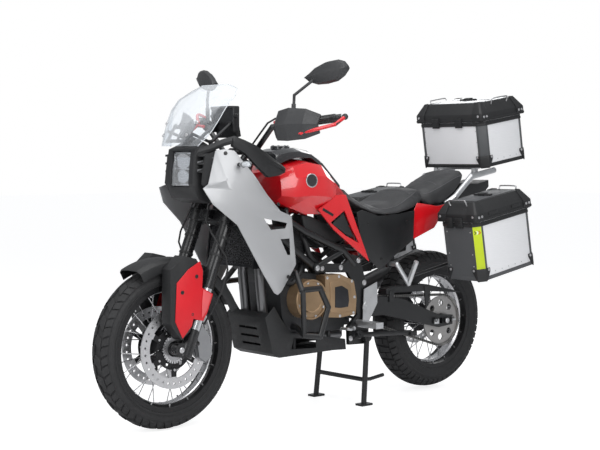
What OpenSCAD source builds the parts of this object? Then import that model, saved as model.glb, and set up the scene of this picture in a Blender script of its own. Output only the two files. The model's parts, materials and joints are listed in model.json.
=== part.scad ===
// Adventure motorcycle with aluminium top case and side cases, parked on its centre stand.
// Built in bike coordinates (front axle at y = 0, left side +X, rear +Y, floor z = 0) and then
// moved by on_bike() so that the origin lies under the middle of the whole vehicle.

/* [Wheels] */
// Distance between the axles
wheelbase = 1520; // [1500:5:1840]
// Front tyre outer radius
front_tyre_r = 329; // [318:1:333]
// Front tyre width
front_tyre_w = 112; // [90:1:120]
// Front rim lip radius
front_rim_r = 258; // [240:1:266]
// Rear tyre outer radius
rear_tyre_r = 321; // [300:1:324]
// Rear tyre width
rear_tyre_w = 150; // [120:1:160]
// Rear rim lip radius
rear_rim_r = 232; // [210:1:240]
// Height of the rear tyre above the floor on the centre stand
rear_lift = 8; // [4:1:20]
// Radius of the front brake discs
front_disc_r = 160; // [130:1:165]
// Radius of the rear brake disc
rear_disc_r = 125; // [100:1:130]
// Radius of the rear sprocket
sprocket_r = 112; // [90:1:118]
// Number of spokes in each wheel
spokes = 32; // [16:4:40]

/* [Fork and bars] */
// Rake angle of the fork
rake = 22; // [20:0.5:24]
// Distance of the fork legs from the centre plane
fork_x = 103; // [100:1:108]
// Radius of the fork outer tubes
fork_outer_r = 27; // [24:0.5:29]
// Radius of the chromed fork tubes
stanchion_r = 21.5; // [18:0.5:23]
// Distance of the steering axis behind the fork legs
stem_offset = 22; // [18:1:30]
// Handlebar tube radius
bar_r = 11; // [10:0.5:14]

/* [Tank and seats] */
// Half width of the fuel tank at its widest
tank_half_w = 178; // [140:1:184]
// Thickness of the bodywork panels
panel_t = 4; // [3:0.5:6]
// Half width of the rider's seat
seat_half_w = 150; // [120:1:160]
// Half width of the passenger's seat
pillion_half_w = 112; // [90:1:125]

/* [Luggage] */
// Width of the top case
case_w = 410; // [360:5:440]
// Length of the top case
case_d = 303; // [280:1:340]
// Height of the top case up to its lid
case_h = 215; // [160:1:240]
// Height of the top case lid
case_lid_h = 86; // [60:1:110]
// Width of each side case
pannier_w = 222; // [180:1:235]
// Length of each side case
pannier_d = 372; // [320:1:420]
// Height of each side case up to its lid
pannier_h = 262; // [220:1:300]
// Height of each side case lid
pannier_lid_h = 84; // [60:1:100]
// Sheet thickness of the cases
case_wall = 3; // [2:0.25:5]
// Upward tilt of the cases towards the rear
case_tilt = 9; // [6:0.5:12]

/* [Stands] */
// Length of the side stand leg
side_stand_len = 316; // [260:1:330]
// Half distance between the centre stand feet
centre_stand_x = 150; // [140:1:156]

/* [Hidden] */
$fn = 64;

front_axle_z = front_tyre_r;
rear_axle_z = rear_tyre_r + rear_lift;
gap = 0.3;            // clearance between neighbouring parts
run = 0.05;           // running clearance of shafts in bores
weld = 0.4;           // bead that covers a tube joint
axle_r = 12.5;
fork_lead = 38;       // fork leg axis behind the front axle, at axle height
stem_r = 15;
clamp_low = 533;      // heights along the fork axis
clamp_low_t = 50;
clamp_top = 772;
clamp_top_t = 26;
fork_top = 806;
head_r = 31;
hinge_r = 8;          // case lid hinges
hinge_pin_r = 4;
case_lip = 3;         // overhang of the case lids
hinge_out = hinge_r + case_lip + 1;   // hinge axis behind the case

case_y = 1704;        // front bottom edge of the top case
case_z = 1044;
pannier_x = 258;      // inner face of the side cases
pannier_y = 1375;
pannier_z = 545;
pannier_tilt = case_tilt + 1;
case_rear_y = case_y + case_d * cos(case_tilt);
mid_y = (case_rear_y - front_tyre_r) / 2;

pivot_y = 985;        // swingarm pivot
pivot_z = 432;
engine_half_w = 150;
plate_x = 128;        // frame side plates
rail_x = 112;         // seat rails
stand_pivot = [176, 914, 318];
stand_lean = 25;      // tilt of the side stand's pin
stand_dir = [cos(stand_lean), 0, sin(stand_lean)];

module on_bike() { translate([0, -mid_y, 0]) children(); }
module both() {
    children();
    mirror([1, 0, 0]) children();
}
// A plate with an outline of (y, z) points, from x0 to x1.
module plate(outline, x0, x1) {
    translate([x0, 0, 0]) rotate([90, 0, 90]) linear_extrude(x1 - x0) polygon(outline);
}
// A straight round bar between two points.
module rod(a, b, r) {
    d = b - a;
    translate(a) rotate([0, acos(d.z / norm(d)), atan2(d.y, d.x)]) cylinder(h = norm(d), r = r);
}
// A bent tube: straight runs with a ball at each bend.
module tube(pts, r) {
    for (i = [0 : len(pts) - 2]) rod(pts[i], pts[i + 1], r);
    for (i = [1 : len(pts) - 2]) translate(pts[i]) sphere(r + weld);
}
// A cylinder along X, centred on (y, z), from x0 to x1.
module xcyl(y, z, r, x0, x1) { translate([x0, y, z]) rotate([0, 90, 0]) cylinder(h = x1 - x0, r = r); }
module block(x0, x1, y0, y1, z0, z1) { translate([x0, y0, z0]) cube([x1 - x0, y1 - y0, z1 - z0]); }
// Fork coordinates: origin on the steering plane at axle height, Z up along the fork legs.
module on_fork(x = 0) {
    translate([x, fork_lead, front_axle_z]) rotate([-rake, 0, 0]) children();
}
function fork_point(x, v, w) = [x, fork_lead + v * cos(rake) + w * sin(rake),
    front_axle_z - v * sin(rake) + w * cos(rake)];
function mirror_pts(pts) = [for (p = pts) [-p.x, p.y, p.z]];
// A solid through sections of equal point count; every section is a closed ring of points.
// The faces are turned over when the rings run the other way round, so any ring order works.
function cap(n, b) = [for (i = [0 : floor(n / 2) - 1]) let (c = n - 2 - i)
    each (i + 1 < c ? [[b + i, b + i + 1, b + c + 1], [b + i + 1, b + c, b + c + 1]]
        : i + 1 == c ? [[b + i, b + i + 1, b + c + 1]] : [])];
function turned(faces) = [for (f = faces) [f[2], f[1], f[0]]];
function signed_volume(pts, faces) = [for (f = faces) cross(pts[f[0]], pts[f[1]]) * pts[f[2]]]
    * [for (f = faces) 1];
module loft(rings) {
    n = len(rings[0]);
    m = len(rings);
    pts = [for (ring = rings) each ring];
    sides = [for (k = [0 : m - 2]) for (i = [0 : n - 1]) let (j = (i + 1) % n)
        each [[k * n + i, (k + 1) * n + i, (k + 1) * n + j], [k * n + i, (k + 1) * n + j, k * n + j]]];
    faces = concat(cap(n, 0), sides, turned(cap(n, (m - 1) * n)));
    polyhedron(points = pts, faces = signed_volume(pts, faces) > 0 ? turned(faces) : faces);
}
// A panel skin: rows of outer points, thickened inwards along X by t.
function skin_ring(row, t) = concat(row, [for (i = [len(row) - 1 : -1 : 0]) row[i] - [t, 0, 0]]);
module skin(rows, t = panel_t) { loft([for (row = rows) skin_ring(row, t)]); }
// A hose swept along points with flat ends.
module hose(pts, r, sides = 8) {
    last = len(pts) - 1;
    rings = [for (i = [0 : last])
        let (a = pts[max(i - 1, 0)], b = pts[min(i + 1, last)], d = (b - a) / norm(b - a),
            s = cross(d, [1, 0, 0.01]) / norm(cross(d, [1, 0, 0.01])), u = cross(s, d))
        [for (k = [0 : sides - 1]) pts[i] + r * (cos(360 * k / sides) * s + sin(360 * k / sides) * u)]];
    loft(rings);
}

// ---------------------------------------------------------------- wheels

// A tyre: outer section as an ellipse on a rim, open towards the rim.
module tyre_ring(r, w, rim_r) {
    section_h = r - rim_r + 22;
    crown = [for (a = [-84 : 12 : 84]) [r - section_h * 0.52 * (1 - cos(a)), w / 2 * sin(a)]];
    inner = [for (a = [72 : -18 : -72])
        [r - 12 - (section_h * 0.52 - 4) * (1 - cos(a)), (w / 2 - 9) * sin(a)]];
    bead = w * 0.36;
    rotate([0, 90, 0]) rotate_extrude($fn = 128) polygon(concat(
        [[rim_r - 14, -bead], [rim_r + 1, -bead], [rim_r + 1, -bead - 9]], crown,
        [[rim_r + 1, bead + 9], [rim_r + 1, bead], [rim_r - 14, bead], [rim_r - 14, bead - 12]],
        inner, [[rim_r - 14, 12 - bead]]));
}
// A spoked wheel: rim well, hub with two flanges, crossed spokes and an axle bore.
module spoked_wheel(rim_r, w, hub_w, flange_r, hub_r) {
    seat = rim_r - 14.3;
    half = w * 0.36 + 7;
    difference() {
        union() {
            rotate([0, 90, 0]) rotate_extrude($fn = 128) polygon([
                [rim_r, -half], [rim_r, -half + 6.7], [seat, -half + 6.7], [seat, -half * 0.45],
                [seat - 14, -half * 0.3], [seat - 14, half * 0.3], [seat, half * 0.45],
                [seat, half - 6.7], [rim_r, half - 6.7], [rim_r, half],
                [seat - 6, half], [seat - 8, half * 0.5], [seat - 20, half * 0.32],
                [seat - 20, -half * 0.32], [seat - 8, -half * 0.5], [seat - 6, -half]]);
            rotate([0, 90, 0]) rotate_extrude() polygon([
                [0, -hub_w / 2], [hub_r, -hub_w / 2], [flange_r, -hub_w / 2 + 8],
                [flange_r, -hub_w / 2 + 16], [hub_r, -hub_w / 2 + 24], [hub_r, hub_w / 2 - 24],
                [flange_r, hub_w / 2 - 16], [flange_r, hub_w / 2 - 8], [hub_r, hub_w / 2],
                [0, hub_w / 2]]);
            for (i = [0 : spokes - 1]) {
                side = i % 2 == 0 ? 1 : -1;
                lean = i % 4 < 2 ? 22 : -22;
                a = 360 * i / spokes;
                rod([side * (hub_w / 2 - 12), (flange_r - 5) * cos(a), (flange_r - 5) * sin(a)],
                    [side * half * 0.2, (seat - 17) * cos(a + lean), (seat - 17) * sin(a + lean)], 2);
            }
        }
        xcyl(0, 0, axle_r + run, -hub_w, hub_w);
    }
}
module disc_ring(r, inner_r, t, holes) {
    rotate([0, 90, 0]) difference() {
        translate([0, 0, -t / 2]) cylinder(h = t, r = r);
        translate([0, 0, -t]) cylinder(h = 2 * t, r = inner_r);
        for (i = [0 : holes - 1]) rotate([0, 0, 360 * i / holes])
            translate([(r + inner_r) / 2, 0, -t]) cylinder(h = 2 * t, r = 5);
    }
}

front_hub_w = 118;
front_disc_x = 65;
rear_hub_w = 124;
sprocket_x = 88;
rear_disc_x = -74;
disc_t = 5;

module front_tyre() color("dimgray") on_bike() translate([0, 0, front_axle_z])
    tyre_ring(front_tyre_r, front_tyre_w, front_rim_r);
module front_wheel() color("gray") on_bike() translate([0, 0, front_axle_z])
    spoked_wheel(front_rim_r, front_tyre_w, front_hub_w, 62, 44);
// Floating discs on black carriers, bolted to the hub ends.
module front_brake_discs() color("silver") on_bike() translate([0, 0, front_axle_z]) both()
    translate([front_disc_x, 0, 0]) {
        disc_ring(front_disc_r, 118, disc_t, 30);
        rotate([0, 90, 0]) difference() {
            union() {
                translate([0, 0, -6]) cylinder(h = 6, r = 84);
                for (i = [0 : 5]) rotate([0, 0, 60 * i]) translate([70, -11, -disc_t / 2])
                    cube([52, 22, disc_t]);
                translate([0, 0, -6]) cylinder(h = 10.5, r = 52);
            }
            translate([0, 0, -7]) cylinder(h = 14, r = 32);
            for (i = [0 : 5]) rotate([0, 0, 60 * i + 30]) translate([68, 0, -7])
                cylinder(h = 14, r = 9);
        }
    }
module rear_tyre() color("dimgray") on_bike() translate([0, wheelbase, rear_axle_z])
    tyre_ring(rear_tyre_r, rear_tyre_w, rear_rim_r);
module rear_wheel() color("gray") on_bike() translate([0, wheelbase, rear_axle_z])
    spoked_wheel(rear_rim_r, rear_tyre_w, rear_hub_w, 66, 46);
module rear_sprocket() color("silver") on_bike() translate([sprocket_x, wheelbase, rear_axle_z]) {
    rotate([0, 90, 0]) difference() {
        union() {
            translate([0, 0, -3]) cylinder(h = 6, r = sprocket_r);
            translate([0, 0, rear_hub_w / 2 - sprocket_x]) cylinder(h = sprocket_x - rear_hub_w / 2, r = 58);
        }
        translate([0, 0, -30]) cylinder(h = 60, r = 30);
        for (i = [0 : 7]) rotate([0, 0, 45 * i]) translate([80, 0, -5]) cylinder(h = 10, r = 15);
    }
}
module rear_brake_disc() color("silver") on_bike() translate([rear_disc_x, wheelbase, rear_axle_z]) {
    disc_ring(rear_disc_r, 92, disc_t, 24);
    rotate([0, 90, 0]) difference() {
        union() {
            for (i = [0 : 4]) rotate([0, 0, 72 * i]) translate([40, -10, -disc_t / 2]) cube([56, 20, disc_t]);
            translate([0, 0, -disc_t / 2]) cylinder(h = -rear_disc_x - rear_hub_w / 2 + disc_t / 2, r = 56);
        }
        translate([0, 0, -20]) cylinder(h = 60, r = 30);
    }
}

// ---------------------------------------------------------------- fork and handlebar

axle_v = -fork_lead * cos(rake);
axle_w = -fork_lead * sin(rake);
module leg_clamp(w, t, r) {
    translate([0, 0, w]) linear_extrude(t) {
        difference() {
            union() {
                for (s = [-1, 1]) translate([s * fork_x, 0]) circle(r);
                translate([-fork_x, -20]) square([2 * fork_x, 44]);
                translate([0, stem_offset]) circle(28);
            }
        }
    }
}
module fork() color("#26282b") on_bike() {
    both() {
        on_fork(fork_x) {
            translate([0, 0, -34]) cylinder(h = 112, r = 28);
            translate([0, 0, 77]) cylinder(h = 183, r = stanchion_r);
            translate([0, 0, 255]) cylinder(h = fork_top - 255, r = fork_outer_r);
            translate([0, 0, 255]) cylinder(h = 40, r = fork_outer_r + 3);
        }
        // Axle boss, joined to the foot of the leg, and the caliper lug
        xcyl(0, front_axle_z, 27, fork_x - 24, fork_x + 14);
        plate([[-20, front_axle_z - 26], [46, front_axle_z - 40], [64, front_axle_z + 20],
            [6, front_axle_z + 27]], fork_x - 20, fork_x + 14);
        rod([fork_x - 8, 60, front_axle_z + 16], [fork_x - 8, 99.2, front_axle_z + 16], 9);
    }
    xcyl(0, front_axle_z, axle_r, -fork_x - 12, fork_x + 12);
    // Axle spacers up to the wheel bearings
    both() xcyl(0, front_axle_z, 20, front_hub_w / 2 + 0.3, fork_x - 22);
    on_fork() {
        leg_clamp(clamp_low, clamp_low_t, 36);
        leg_clamp(clamp_top, clamp_top_t, 34);
        translate([0, stem_offset, clamp_low + 5]) cylinder(h = clamp_top - clamp_low, r = stem_r - run);
        // Hose guide on the lower clamp
        translate([-30, -44, clamp_low + 8]) cube([60, 26, 30]);
    }
    // Handlebar risers on the top clamp, hollowed for the bar's caps
    both() difference() {
        rod(fork_point(48, 14, clamp_top + 20), bar_path[0] + [48, 0, 0], 14);
        xcyl(bar_path[0].y, bar_path[0].z, riser_cap_r + gap, 0, 90);
    }
}
riser_cap_r = 19;
// Left half of the handlebar: clamp centre, rise, bend, grip end
bar_path = [[0, 392, 1112], [104, 388, 1114], [214, 388, 1215], [436, 545, 1250]];
module handlebar() color("#1c1d1f") on_bike() {
    both() {
        tube(bar_path, bar_r);
        xcyl(bar_path[0].y, bar_path[0].z, riser_cap_r, 33, 63);
        // Rubber grip, switch housing, bar end weight, lever perch
        rod(on_grip(138), on_grip(268), 17);
        rod(on_grip(102), on_grip(136), 24);
        rod(on_grip(269), on_grip(290), 14);
        rod(on_grip(76), on_grip(100), 17);
        // Perch arm, lever and fluid reservoir
        rod(on_grip(88), on_grip(88) + [24, -42, 4], 9);
        tube([on_grip(88) + [24, -42, 4], on_grip(88) + [66, -16, 2], on_grip(274) + [4, -48, -2]], 6);
        translate(on_grip(88) + [2, -34, 6]) cylinder(h = 30, r = 17);
    }
}
grip_dir = (bar_path[3] - bar_path[2]) / norm(bar_path[3] - bar_path[2]);
// A point on the bar, d from its outer bend towards the grip's end
function on_grip(d) = bar_path[2] + grip_dir * d;
guard_path = [on_grip(30) + [0, -18.6, 2], [258, 366, 1232], [300, 346, 1196],
    [390, 386, 1186], [474, 496, 1222], on_grip(290 + 13.2 + gap)];
module hand_guards() color("#1f2022") on_bike() both() {
    tube(guard_path, 7);
    translate(guard_path[5]) sphere(13);
    // Wind deflector behind the hoop
    loft([for (s = [[284, 348, 1170, 1250], [306, 338, 1158, 1276], [352, 352, 1156, 1288],
                [404, 398, 1164, 1284], [432, 452, 1186, 1262]])
        [[s[0], s[1], s[2]], [s[0], s[1] - 16, (s[2] + s[3]) / 2], [s[0], s[1] + 4, s[3]],
         [s[0] - 7, s[1] + 14, s[3] - 6], [s[0] - 7, s[1] - 4, (s[2] + s[3]) / 2], [s[0] - 7, s[1] + 8, s[2] + 6]]]);
}
mirror_base = on_grip(88);
module mirrors() color("#242528") on_bike() both() {
    stem_foot = mirror_base + [0, 0, 18.9];
    tube([stem_foot, [stem_foot.x + 4, stem_foot.y + 2, 1342], [346, 492, 1402]], 6);
    rod(stem_foot, stem_foot + [2, 1, 62], 9);
    // Mirror shell: rings along X with (x, y, z_low, z_high)
    loft([for (s = [[304, 500, 1404, 1420], [322, 503, 1392, 1434], [352, 509, 1384, 1456],
                [400, 520, 1386, 1476], [446, 533, 1396, 1482], [474, 543, 1416, 1474], [488, 549, 1436, 1456]])
        [[s[0], s[1] - 22, (s[2] + s[3]) / 2], [s[0], s[1] - 14, s[3] - 6], [s[0], s[1] + 6, s[3]],
         [s[0], s[1] + 12, (s[2] + s[3]) / 2], [s[0], s[1] + 6, s[2]], [s[0], s[1] - 14, s[2] + 6]]]);
}
// Low fender: an arc around the tyre, carried on the fork legs by two stays
fender_r = front_tyre_r + 24;
fender_front = 118;   // angles of the fender's ends around the axle, from the rear horizontal
fender_rear = 24;
// Side wings ahead of the fork legs, which carry the coloured guards
wing_outline = [[-62, 652], [-66, 440], [-12, 372], [30, 404], [52, 470], [80, 560], [98, 640], [60, 690], [0, 704]];
module front_fender() color("#2a2b2e") on_bike() {
    translate([0, 0, front_axle_z]) rotate([0, 90, 0]) rotate([0, 0, fender_rear + 90])
        rotate_extrude(angle = fender_front - fender_rear)
            polygon([[fender_r - 42, -72.8], [fender_r - 6, -72.8], [fender_r + 8, -54], [fender_r + 12, 0],
                [fender_r + 8, 54], [fender_r - 6, 72.8], [fender_r - 42, 72.8], [fender_r - 42, 70.2],
                [fender_r - 8, 70.2], [fender_r + 4, 52], [fender_r + 8, 0], [fender_r + 4, -52],
                [fender_r - 8, -70.2], [fender_r - 42, -70.2]]);
    both() {
        difference() {
            plate(wing_outline, 75, fork_x + fork_outer_r + 4.7);
            plate([for (q = wing_outline) [q.x * 0.86 + 14, q.y * 0.9 + 40]], 60, fork_x + fork_outer_r + 1);
        }
        // Tie from the fender's skirt out to the side wing
        xcyl(0, 672, 6, 71.4, 80);
        // Boss against the fork leg
        rod([fork_x, 80, 600], [fork_x, fork_lead + (600 - front_axle_z) * tan(rake) - (fork_outer_r + 6) / cos(rake), 600], 7);
    }
}
guard_outline = [[-36, 598], [-44, 446], [-9, 378], [36, 424], [44, 452], [92, 440], [112, 470], [142, 545],
    [88, 573], [92, 640], [78, 680], [20, 650]];
module fork_guards() color("#d3141c") on_bike() both()
    plate(guard_outline, fork_x + fork_outer_r + 5, fork_x + fork_outer_r + 8);
module front_calipers() color("#8d9094") on_bike() both() difference() {
    plate([[98, front_axle_z + 66], [120, front_axle_z + 92], [160, front_axle_z + 40], [172, front_axle_z - 34],
        [140, front_axle_z - 64], [108, front_axle_z - 42], [100, front_axle_z + 6]],
        front_disc_x - 17, front_disc_x + 26);
    translate([front_disc_x, 0, front_axle_z]) rotate([0, 90, 0])
        translate([0, 0, -disc_t / 2 - 1]) cylinder(h = disc_t + 2, r = front_disc_r + 6);
}
hose_points = [[96, 128, 421.5], [120, 146, 470], [142, 186, 560], [150, 206, 640], [148, 200, 690],
    [136, 172, 740], [106, 160, 786], [70, 160, 836], [58, 184, 896], [72, 250, 960], [76, 270, 990], [84, 270, 1052],
    [88, 296, 1108], [108, 366, 1140], [160, 366, 1186], [206, 370, 1230], [238, 384, 1248], [267.6, 404, 1250]];
module brake_hoses() color("#151515") on_bike() both() hose(hose_points, 4);

// ---------------------------------------------------------------- frame, engine and running gear

module on_stem() { on_fork() translate([0, stem_offset, 0]) children(); }
head_low = fork_point(0, stem_offset, clamp_low + clamp_low_t + 6);
head_high = fork_point(0, stem_offset, clamp_top - 6);
bolt_point = [134, 688, 620];
upper_tube = [[20, 352, 950], [96, 470, 880], [128, 640, 775], [130, 857, 686], [128, 925, 622]];
lower_tube = [[20, 334, 902], [110, 480, 780], bolt_point];
side_plate = [[690, 640], [860, 628], [905, 668], [948, 660], [985, 560], [1014, 440], [1008, 330],
    [1004, 268], [888, 272], [884, 352], [938, 400], [910, 545], [880, 590], [690, 600]];
tail_members = [[1320, 834.5, 11], [1470, 862.3, 9], [1600, 874.3, 11]];   // y, z, radius
tank_mounts = [[560, 866], [885, 841.4]];   // rubber mounts under the tank: y, z
module main_frame() color("#1f2023") on_bike() {
    difference() {
        union() {
            on_stem() translate([0, 0, clamp_low + clamp_low_t + 6])
                cylinder(h = clamp_top - clamp_low - clamp_low_t - 12, r = head_r);
            both() {
                tube(upper_tube, 15);
                tube(lower_tube, 15);
                rod(bolt_point, upper_tube[3], 12);
                xcyl(bolt_point.y, bolt_point.z, 19, bolt_point.x - 16, bolt_point.x + 20);
                plate(side_plate, plate_x - 8, plate_x + 8);
                // Seat rail and its lower strut
                tube([[plate_x - 8, 930, 690], [rail_x, 1010, 800], [rail_x, 1260, 826], [rail_x - 16, 1640, 880]], 13);
                rod([plate_x - 4, 950, 640], [rail_x, 1290, 830], 11);
                // Rail up to the tank
                rod([plate_x - 6, 760, 720], [plate_x - 8, 930, 690], 11);
            }
            // Centre stand pins, passenger peg plates and cross members
            both() xcyl(pivot_y, 300, 10, plate_x - 8, plate_x + 34);
            both() plate([[1080, 712], [1130, 740], [1176, 640], [1168, 598], [1134, 598], [1116, 640]],
                plate_x - 12, plate_x);
            xcyl(1010, 800, 11, -rail_x, rail_x);
            for (m = tail_members) xcyl(m[0], m[1], m[2], -100, 100);
            xcyl(1130, 828.5, 9, -rail_x, rail_x);
            xcyl(tank_mounts[0][0], tank_mounts[0][1], 12.7, -100, 100);
            both() rod([113, 560, 824], [98, tank_mounts[0][0], tank_mounts[0][1]], 11);
            xcyl(tank_mounts[1][0], tank_mounts[1][1], 11, -84, 84);
            both() rod([118, 925, 690], [80, tank_mounts[1][0], tank_mounts[1][1]], 10);
            // Pin of the side stand
            rod(stand_pivot - 42 * stand_dir, stand_pivot + 12 * stand_dir, 6);
            // Front stay for headlight and screen
            tube([[0, 300, 960], [0, 220, 1000], [0, 196, 1120]], 12);
            xcyl(196, 1000, 9, -120, 120);
        }
        on_stem() translate([0, 0, clamp_low]) cylinder(h = clamp_top, r = stem_r);
        both() xcyl(pivot_y, pivot_z, 14, 60, 200);
    }
}
crank_half_w = engine_half_w - 32;
module engine() color("#3a3b3d") on_bike() {
    plate([[560, 345], [520, 420], [506, 560], [640, 600], [860, 580], [880, 500], [882, 380], [872, 340]],
        -crank_half_w, crank_half_w);
    // Cylinder block, leaning forward
    plate([[506, 556], [478, 740], [490, 800], [640, 800], [668, 700], [672, 590]], -92, 92);
    // Mounting lugs against the frame plates
    both() plate([[696, 560], [764, 560], [750, 626], [710, 626]], 96, crank_half_w);
    both() xcyl(730, 612, 10, crank_half_w - 2, plate_x - 8 - gap);
    // Gearbox output with the front sprocket
    block(-50, 64, 868, 958, 350, 466);
    xcyl(front_sprocket.x, front_sprocket.y, 34, sprocket_x - 4, sprocket_x + 4);
    xcyl(front_sprocket.x, front_sprocket.y, 13, 60, sprocket_x + 8);
}
module cover_pair(x0, x1) {
    xcyl(630, 492, 84, x0, x1);
    plate([[712, 588], [800, 590], [880, 556], [896, 480], [890, 410], [800, 402], [712, 410]], x0, x1 - 6);
    xcyl(630, 492, 52, x0, x1 + 8);
}
module engine_covers() color("#8a7358") on_bike() both() cover_pair(crank_half_w, 182);
module radiator() color("#18191b") on_bike() {
    plate([[338, 640], [378, 640], [398, 806], [358, 806]], -150, 150);
    both() rod([152, 392, 784], [124, 466, 784], 8);
    both() plate([[330, 636], [386, 636], [406, 812], [352, 812]], 150, 158);
}
exhaust_path = [[-50, 474.5, 688], [-50, 446, 676], [-56, 448, 600], [-56, 466, 440], [-50, 505, 306], [-60, 1000, 290],
    [-132, 1070, 318], [-152, 1140, 392], [-160, 1180, 430], [-174, 1240, 472]];
module exhaust() color("#55575a") on_bike() {
    tube(exhaust_path, 21);
    tube([[50, 474.5, 688], [50, 446, 676], [56, 448, 600], [56, 466, 440], [50, 505, 306], [-44, 600, 303]], 21);
    rod([-174, 1236, 471], [-178, 1650, 600], 45);
    rod([-178, 1648, 600], [-178.4, 1674, 608], 32);
    // Hanger up to the passenger peg bracket
    rod([-176, 1250, 500], [-185.3, 1215.2, 518.5], 6);
}
arm_x0 = 102;
arm_x1 = 118;
arm_outline = [[960, 466], [1112, 468], [1235, 450], [wheelbase - 40, rear_axle_z + 30], [wheelbase + 54, rear_axle_z + 22],
    [wheelbase + 54, rear_axle_z - 22], [wheelbase - 40, rear_axle_z - 30], [1120, 384], [960, 384]];
module swingarm() color("#2b2c2f") on_bike() {
    both() difference() {
        plate(arm_outline, arm_x0, arm_x1);
        plate([[wheelbase - 34, rear_axle_z + 13], [wheelbase + 42, rear_axle_z + 13],
            [wheelbase + 42, rear_axle_z - 13], [wheelbase - 34, rear_axle_z - 13]], 90, 130);
    }
    // Cross member between the two runs of the chain
    block(-arm_x0 - 1, arm_x0 + 1, 1056, 1112, 388, 414);
    // Pivot shaft through frame and arm
    xcyl(pivot_y, pivot_z, 13.9, -plate_x - 16, plate_x + 16);
    both() xcyl(pivot_y, pivot_z, 32, arm_x0 - 4, plate_x - 8.3);
    // Axle, chain adjusters and wheel spacers
    xcyl(wheelbase, rear_axle_z, axle_r, -132, 132);
    both() block(arm_x0 - 2, arm_x1 + 6, wheelbase - 22, wheelbase + 30, rear_axle_z - 12.8, rear_axle_z + 12.8);
    both() xcyl(wheelbase, rear_axle_z, 20, rear_hub_w / 2 + 0.3, arm_x0 + 2);
    // Paddock stand spools
    both() difference() {
        xcyl(wheelbase - 70, rear_axle_z + 8, 10, arm_x1 - 1, arm_x1 + 12);
        xcyl(wheelbase - 70, rear_axle_z + 8, 5, arm_x1 - 2, arm_x1 + 13);
    }
}
module rear_shock() color("#b01218") on_bike() {
    rod([0, 1096, 418.3], [0, 1010, 740], 15);
    for (i = [0 : 7]) rod([0, 1083 - 8 * i, 470 + 29.8 * i], [0, 1078.5 - 8 * i, 486.5 + 29.8 * i], 30);
    rod([0, 1020, 708], [0, 1007, 788], 24);
}
chain_r = sprocket_r + 1;
front_sprocket = [932, 432];
// The chain as a plain outline: tangent lines between two arcs.
function tangent_angle(r1, r2) = asin((r1 - r2) / norm([wheelbase - front_sprocket.x, rear_axle_z - front_sprocket.y]));
module belt(r1, r2) {
    base = atan2(rear_axle_z - front_sprocket.y, wheelbase - front_sprocket.x);
    t = tangent_angle(r1, r2);
    rear_arc = [for (k = [0 : 20]) let (a = base - 90 - t + (180 + 2 * t) * k / 20)
        [wheelbase + r1 * cos(a), rear_axle_z + r1 * sin(a)]];
    front_arc = [for (k = [0 : 10]) let (a = base + 90 + t + (180 - 2 * t) * k / 10)
        [front_sprocket.x + r2 * cos(a), front_sprocket.y + r2 * sin(a)]];
    polygon(concat(rear_arc, front_arc));
}
chain_w = 15;
module chain() color("#6c6d70") on_bike() translate([sprocket_x - chain_w / 2, 0, 0]) rotate([90, 0, 90])
    difference() {
        linear_extrude(chain_w) belt(chain_r + 10, 46);
        translate([0, 0, -1]) linear_extrude(chain_w + 2) belt(chain_r, 36);
    }
module chain_guard() color("#26272a") on_bike() {
    plate([[1134, 500], [1200, 506], [1394, 506], [1660, 450], [1394, 474], [1200, 480], [1134, 476]], rear_tyre_w / 2 + 6, 120);
    // Bracket down to the arm
    plate([[1376, 500], [1420, 500], [1404, 410], [1386, 392]], arm_x1 + gap, 124);
    plate([[1150, 490], [1180, 490], [1178, 440], [1150, 440]], arm_x1 + gap, 124);
}
module rear_caliper() color("#2d2e30") on_bike() difference() {
    plate([[wheelbase - 128, rear_axle_z + 62], [wheelbase - 60, rear_axle_z + 100], [wheelbase - 30, rear_axle_z + 70],
        [wheelbase - 70, rear_axle_z + 34], [wheelbase - 104, rear_axle_z + 22]], -arm_x0 + gap, -56);
    translate([rear_disc_x, wheelbase, rear_axle_z]) rotate([0, 90, 0])
        translate([0, 0, -disc_t / 2 - 1]) cylinder(h = disc_t + 2, r = rear_disc_r + 6);
}
bash_side = [[418, 425], [458, 272], [495, 252], [800, 256], [876, 253], [870, 300], [700, 330], [556, 352],
    [500, 420], [466, 470]];
module bash_plate() color("#232427") on_bike() {
    difference() {
        plate(bash_side, -132, 132);
        plate([[440, 440], [474, 284], [502, 262], [800, 266], [980, 262], [980, 500], [440, 500]], -128, 128);
        // Drain window in each side
        both() plate([[560, 282], [700, 276], [700, 310], [575, 330]], 100, 140);
        // Slots in the front face
        for (z = [300, 335, 370]) block(-60, 60, 380, 500, z, z + 9);
    }
    // Posts up to the engine
    both() rod([100, 800, 262], [100, 800, 340.7], 9);
    both() rod([100, 600, 260], [100, 600, 343.4], 9);
}
bar_front = [130, 512, 640];
crash_path = [bar_front, [202, 524, 612], [262, 506, 545], [268, 600, 548], [270, 644, 466], [266, 604, 346],
    [220, 556, 350], [142, 580, 374]];
module crash_bars() color("#1c1d20") on_bike() both() {
    tube(crash_path, 12);
    rod([268, 506, 545], [220, 556, 350], 11);
    // Mounting ears against the engine
    xcyl(bar_front.y, bar_front.z, 15, 92 + gap, 134);
    xcyl(580, 374, 14, crank_half_w + gap, 146);
}

// ---------------------------------------------------------------- bodywork

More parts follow.
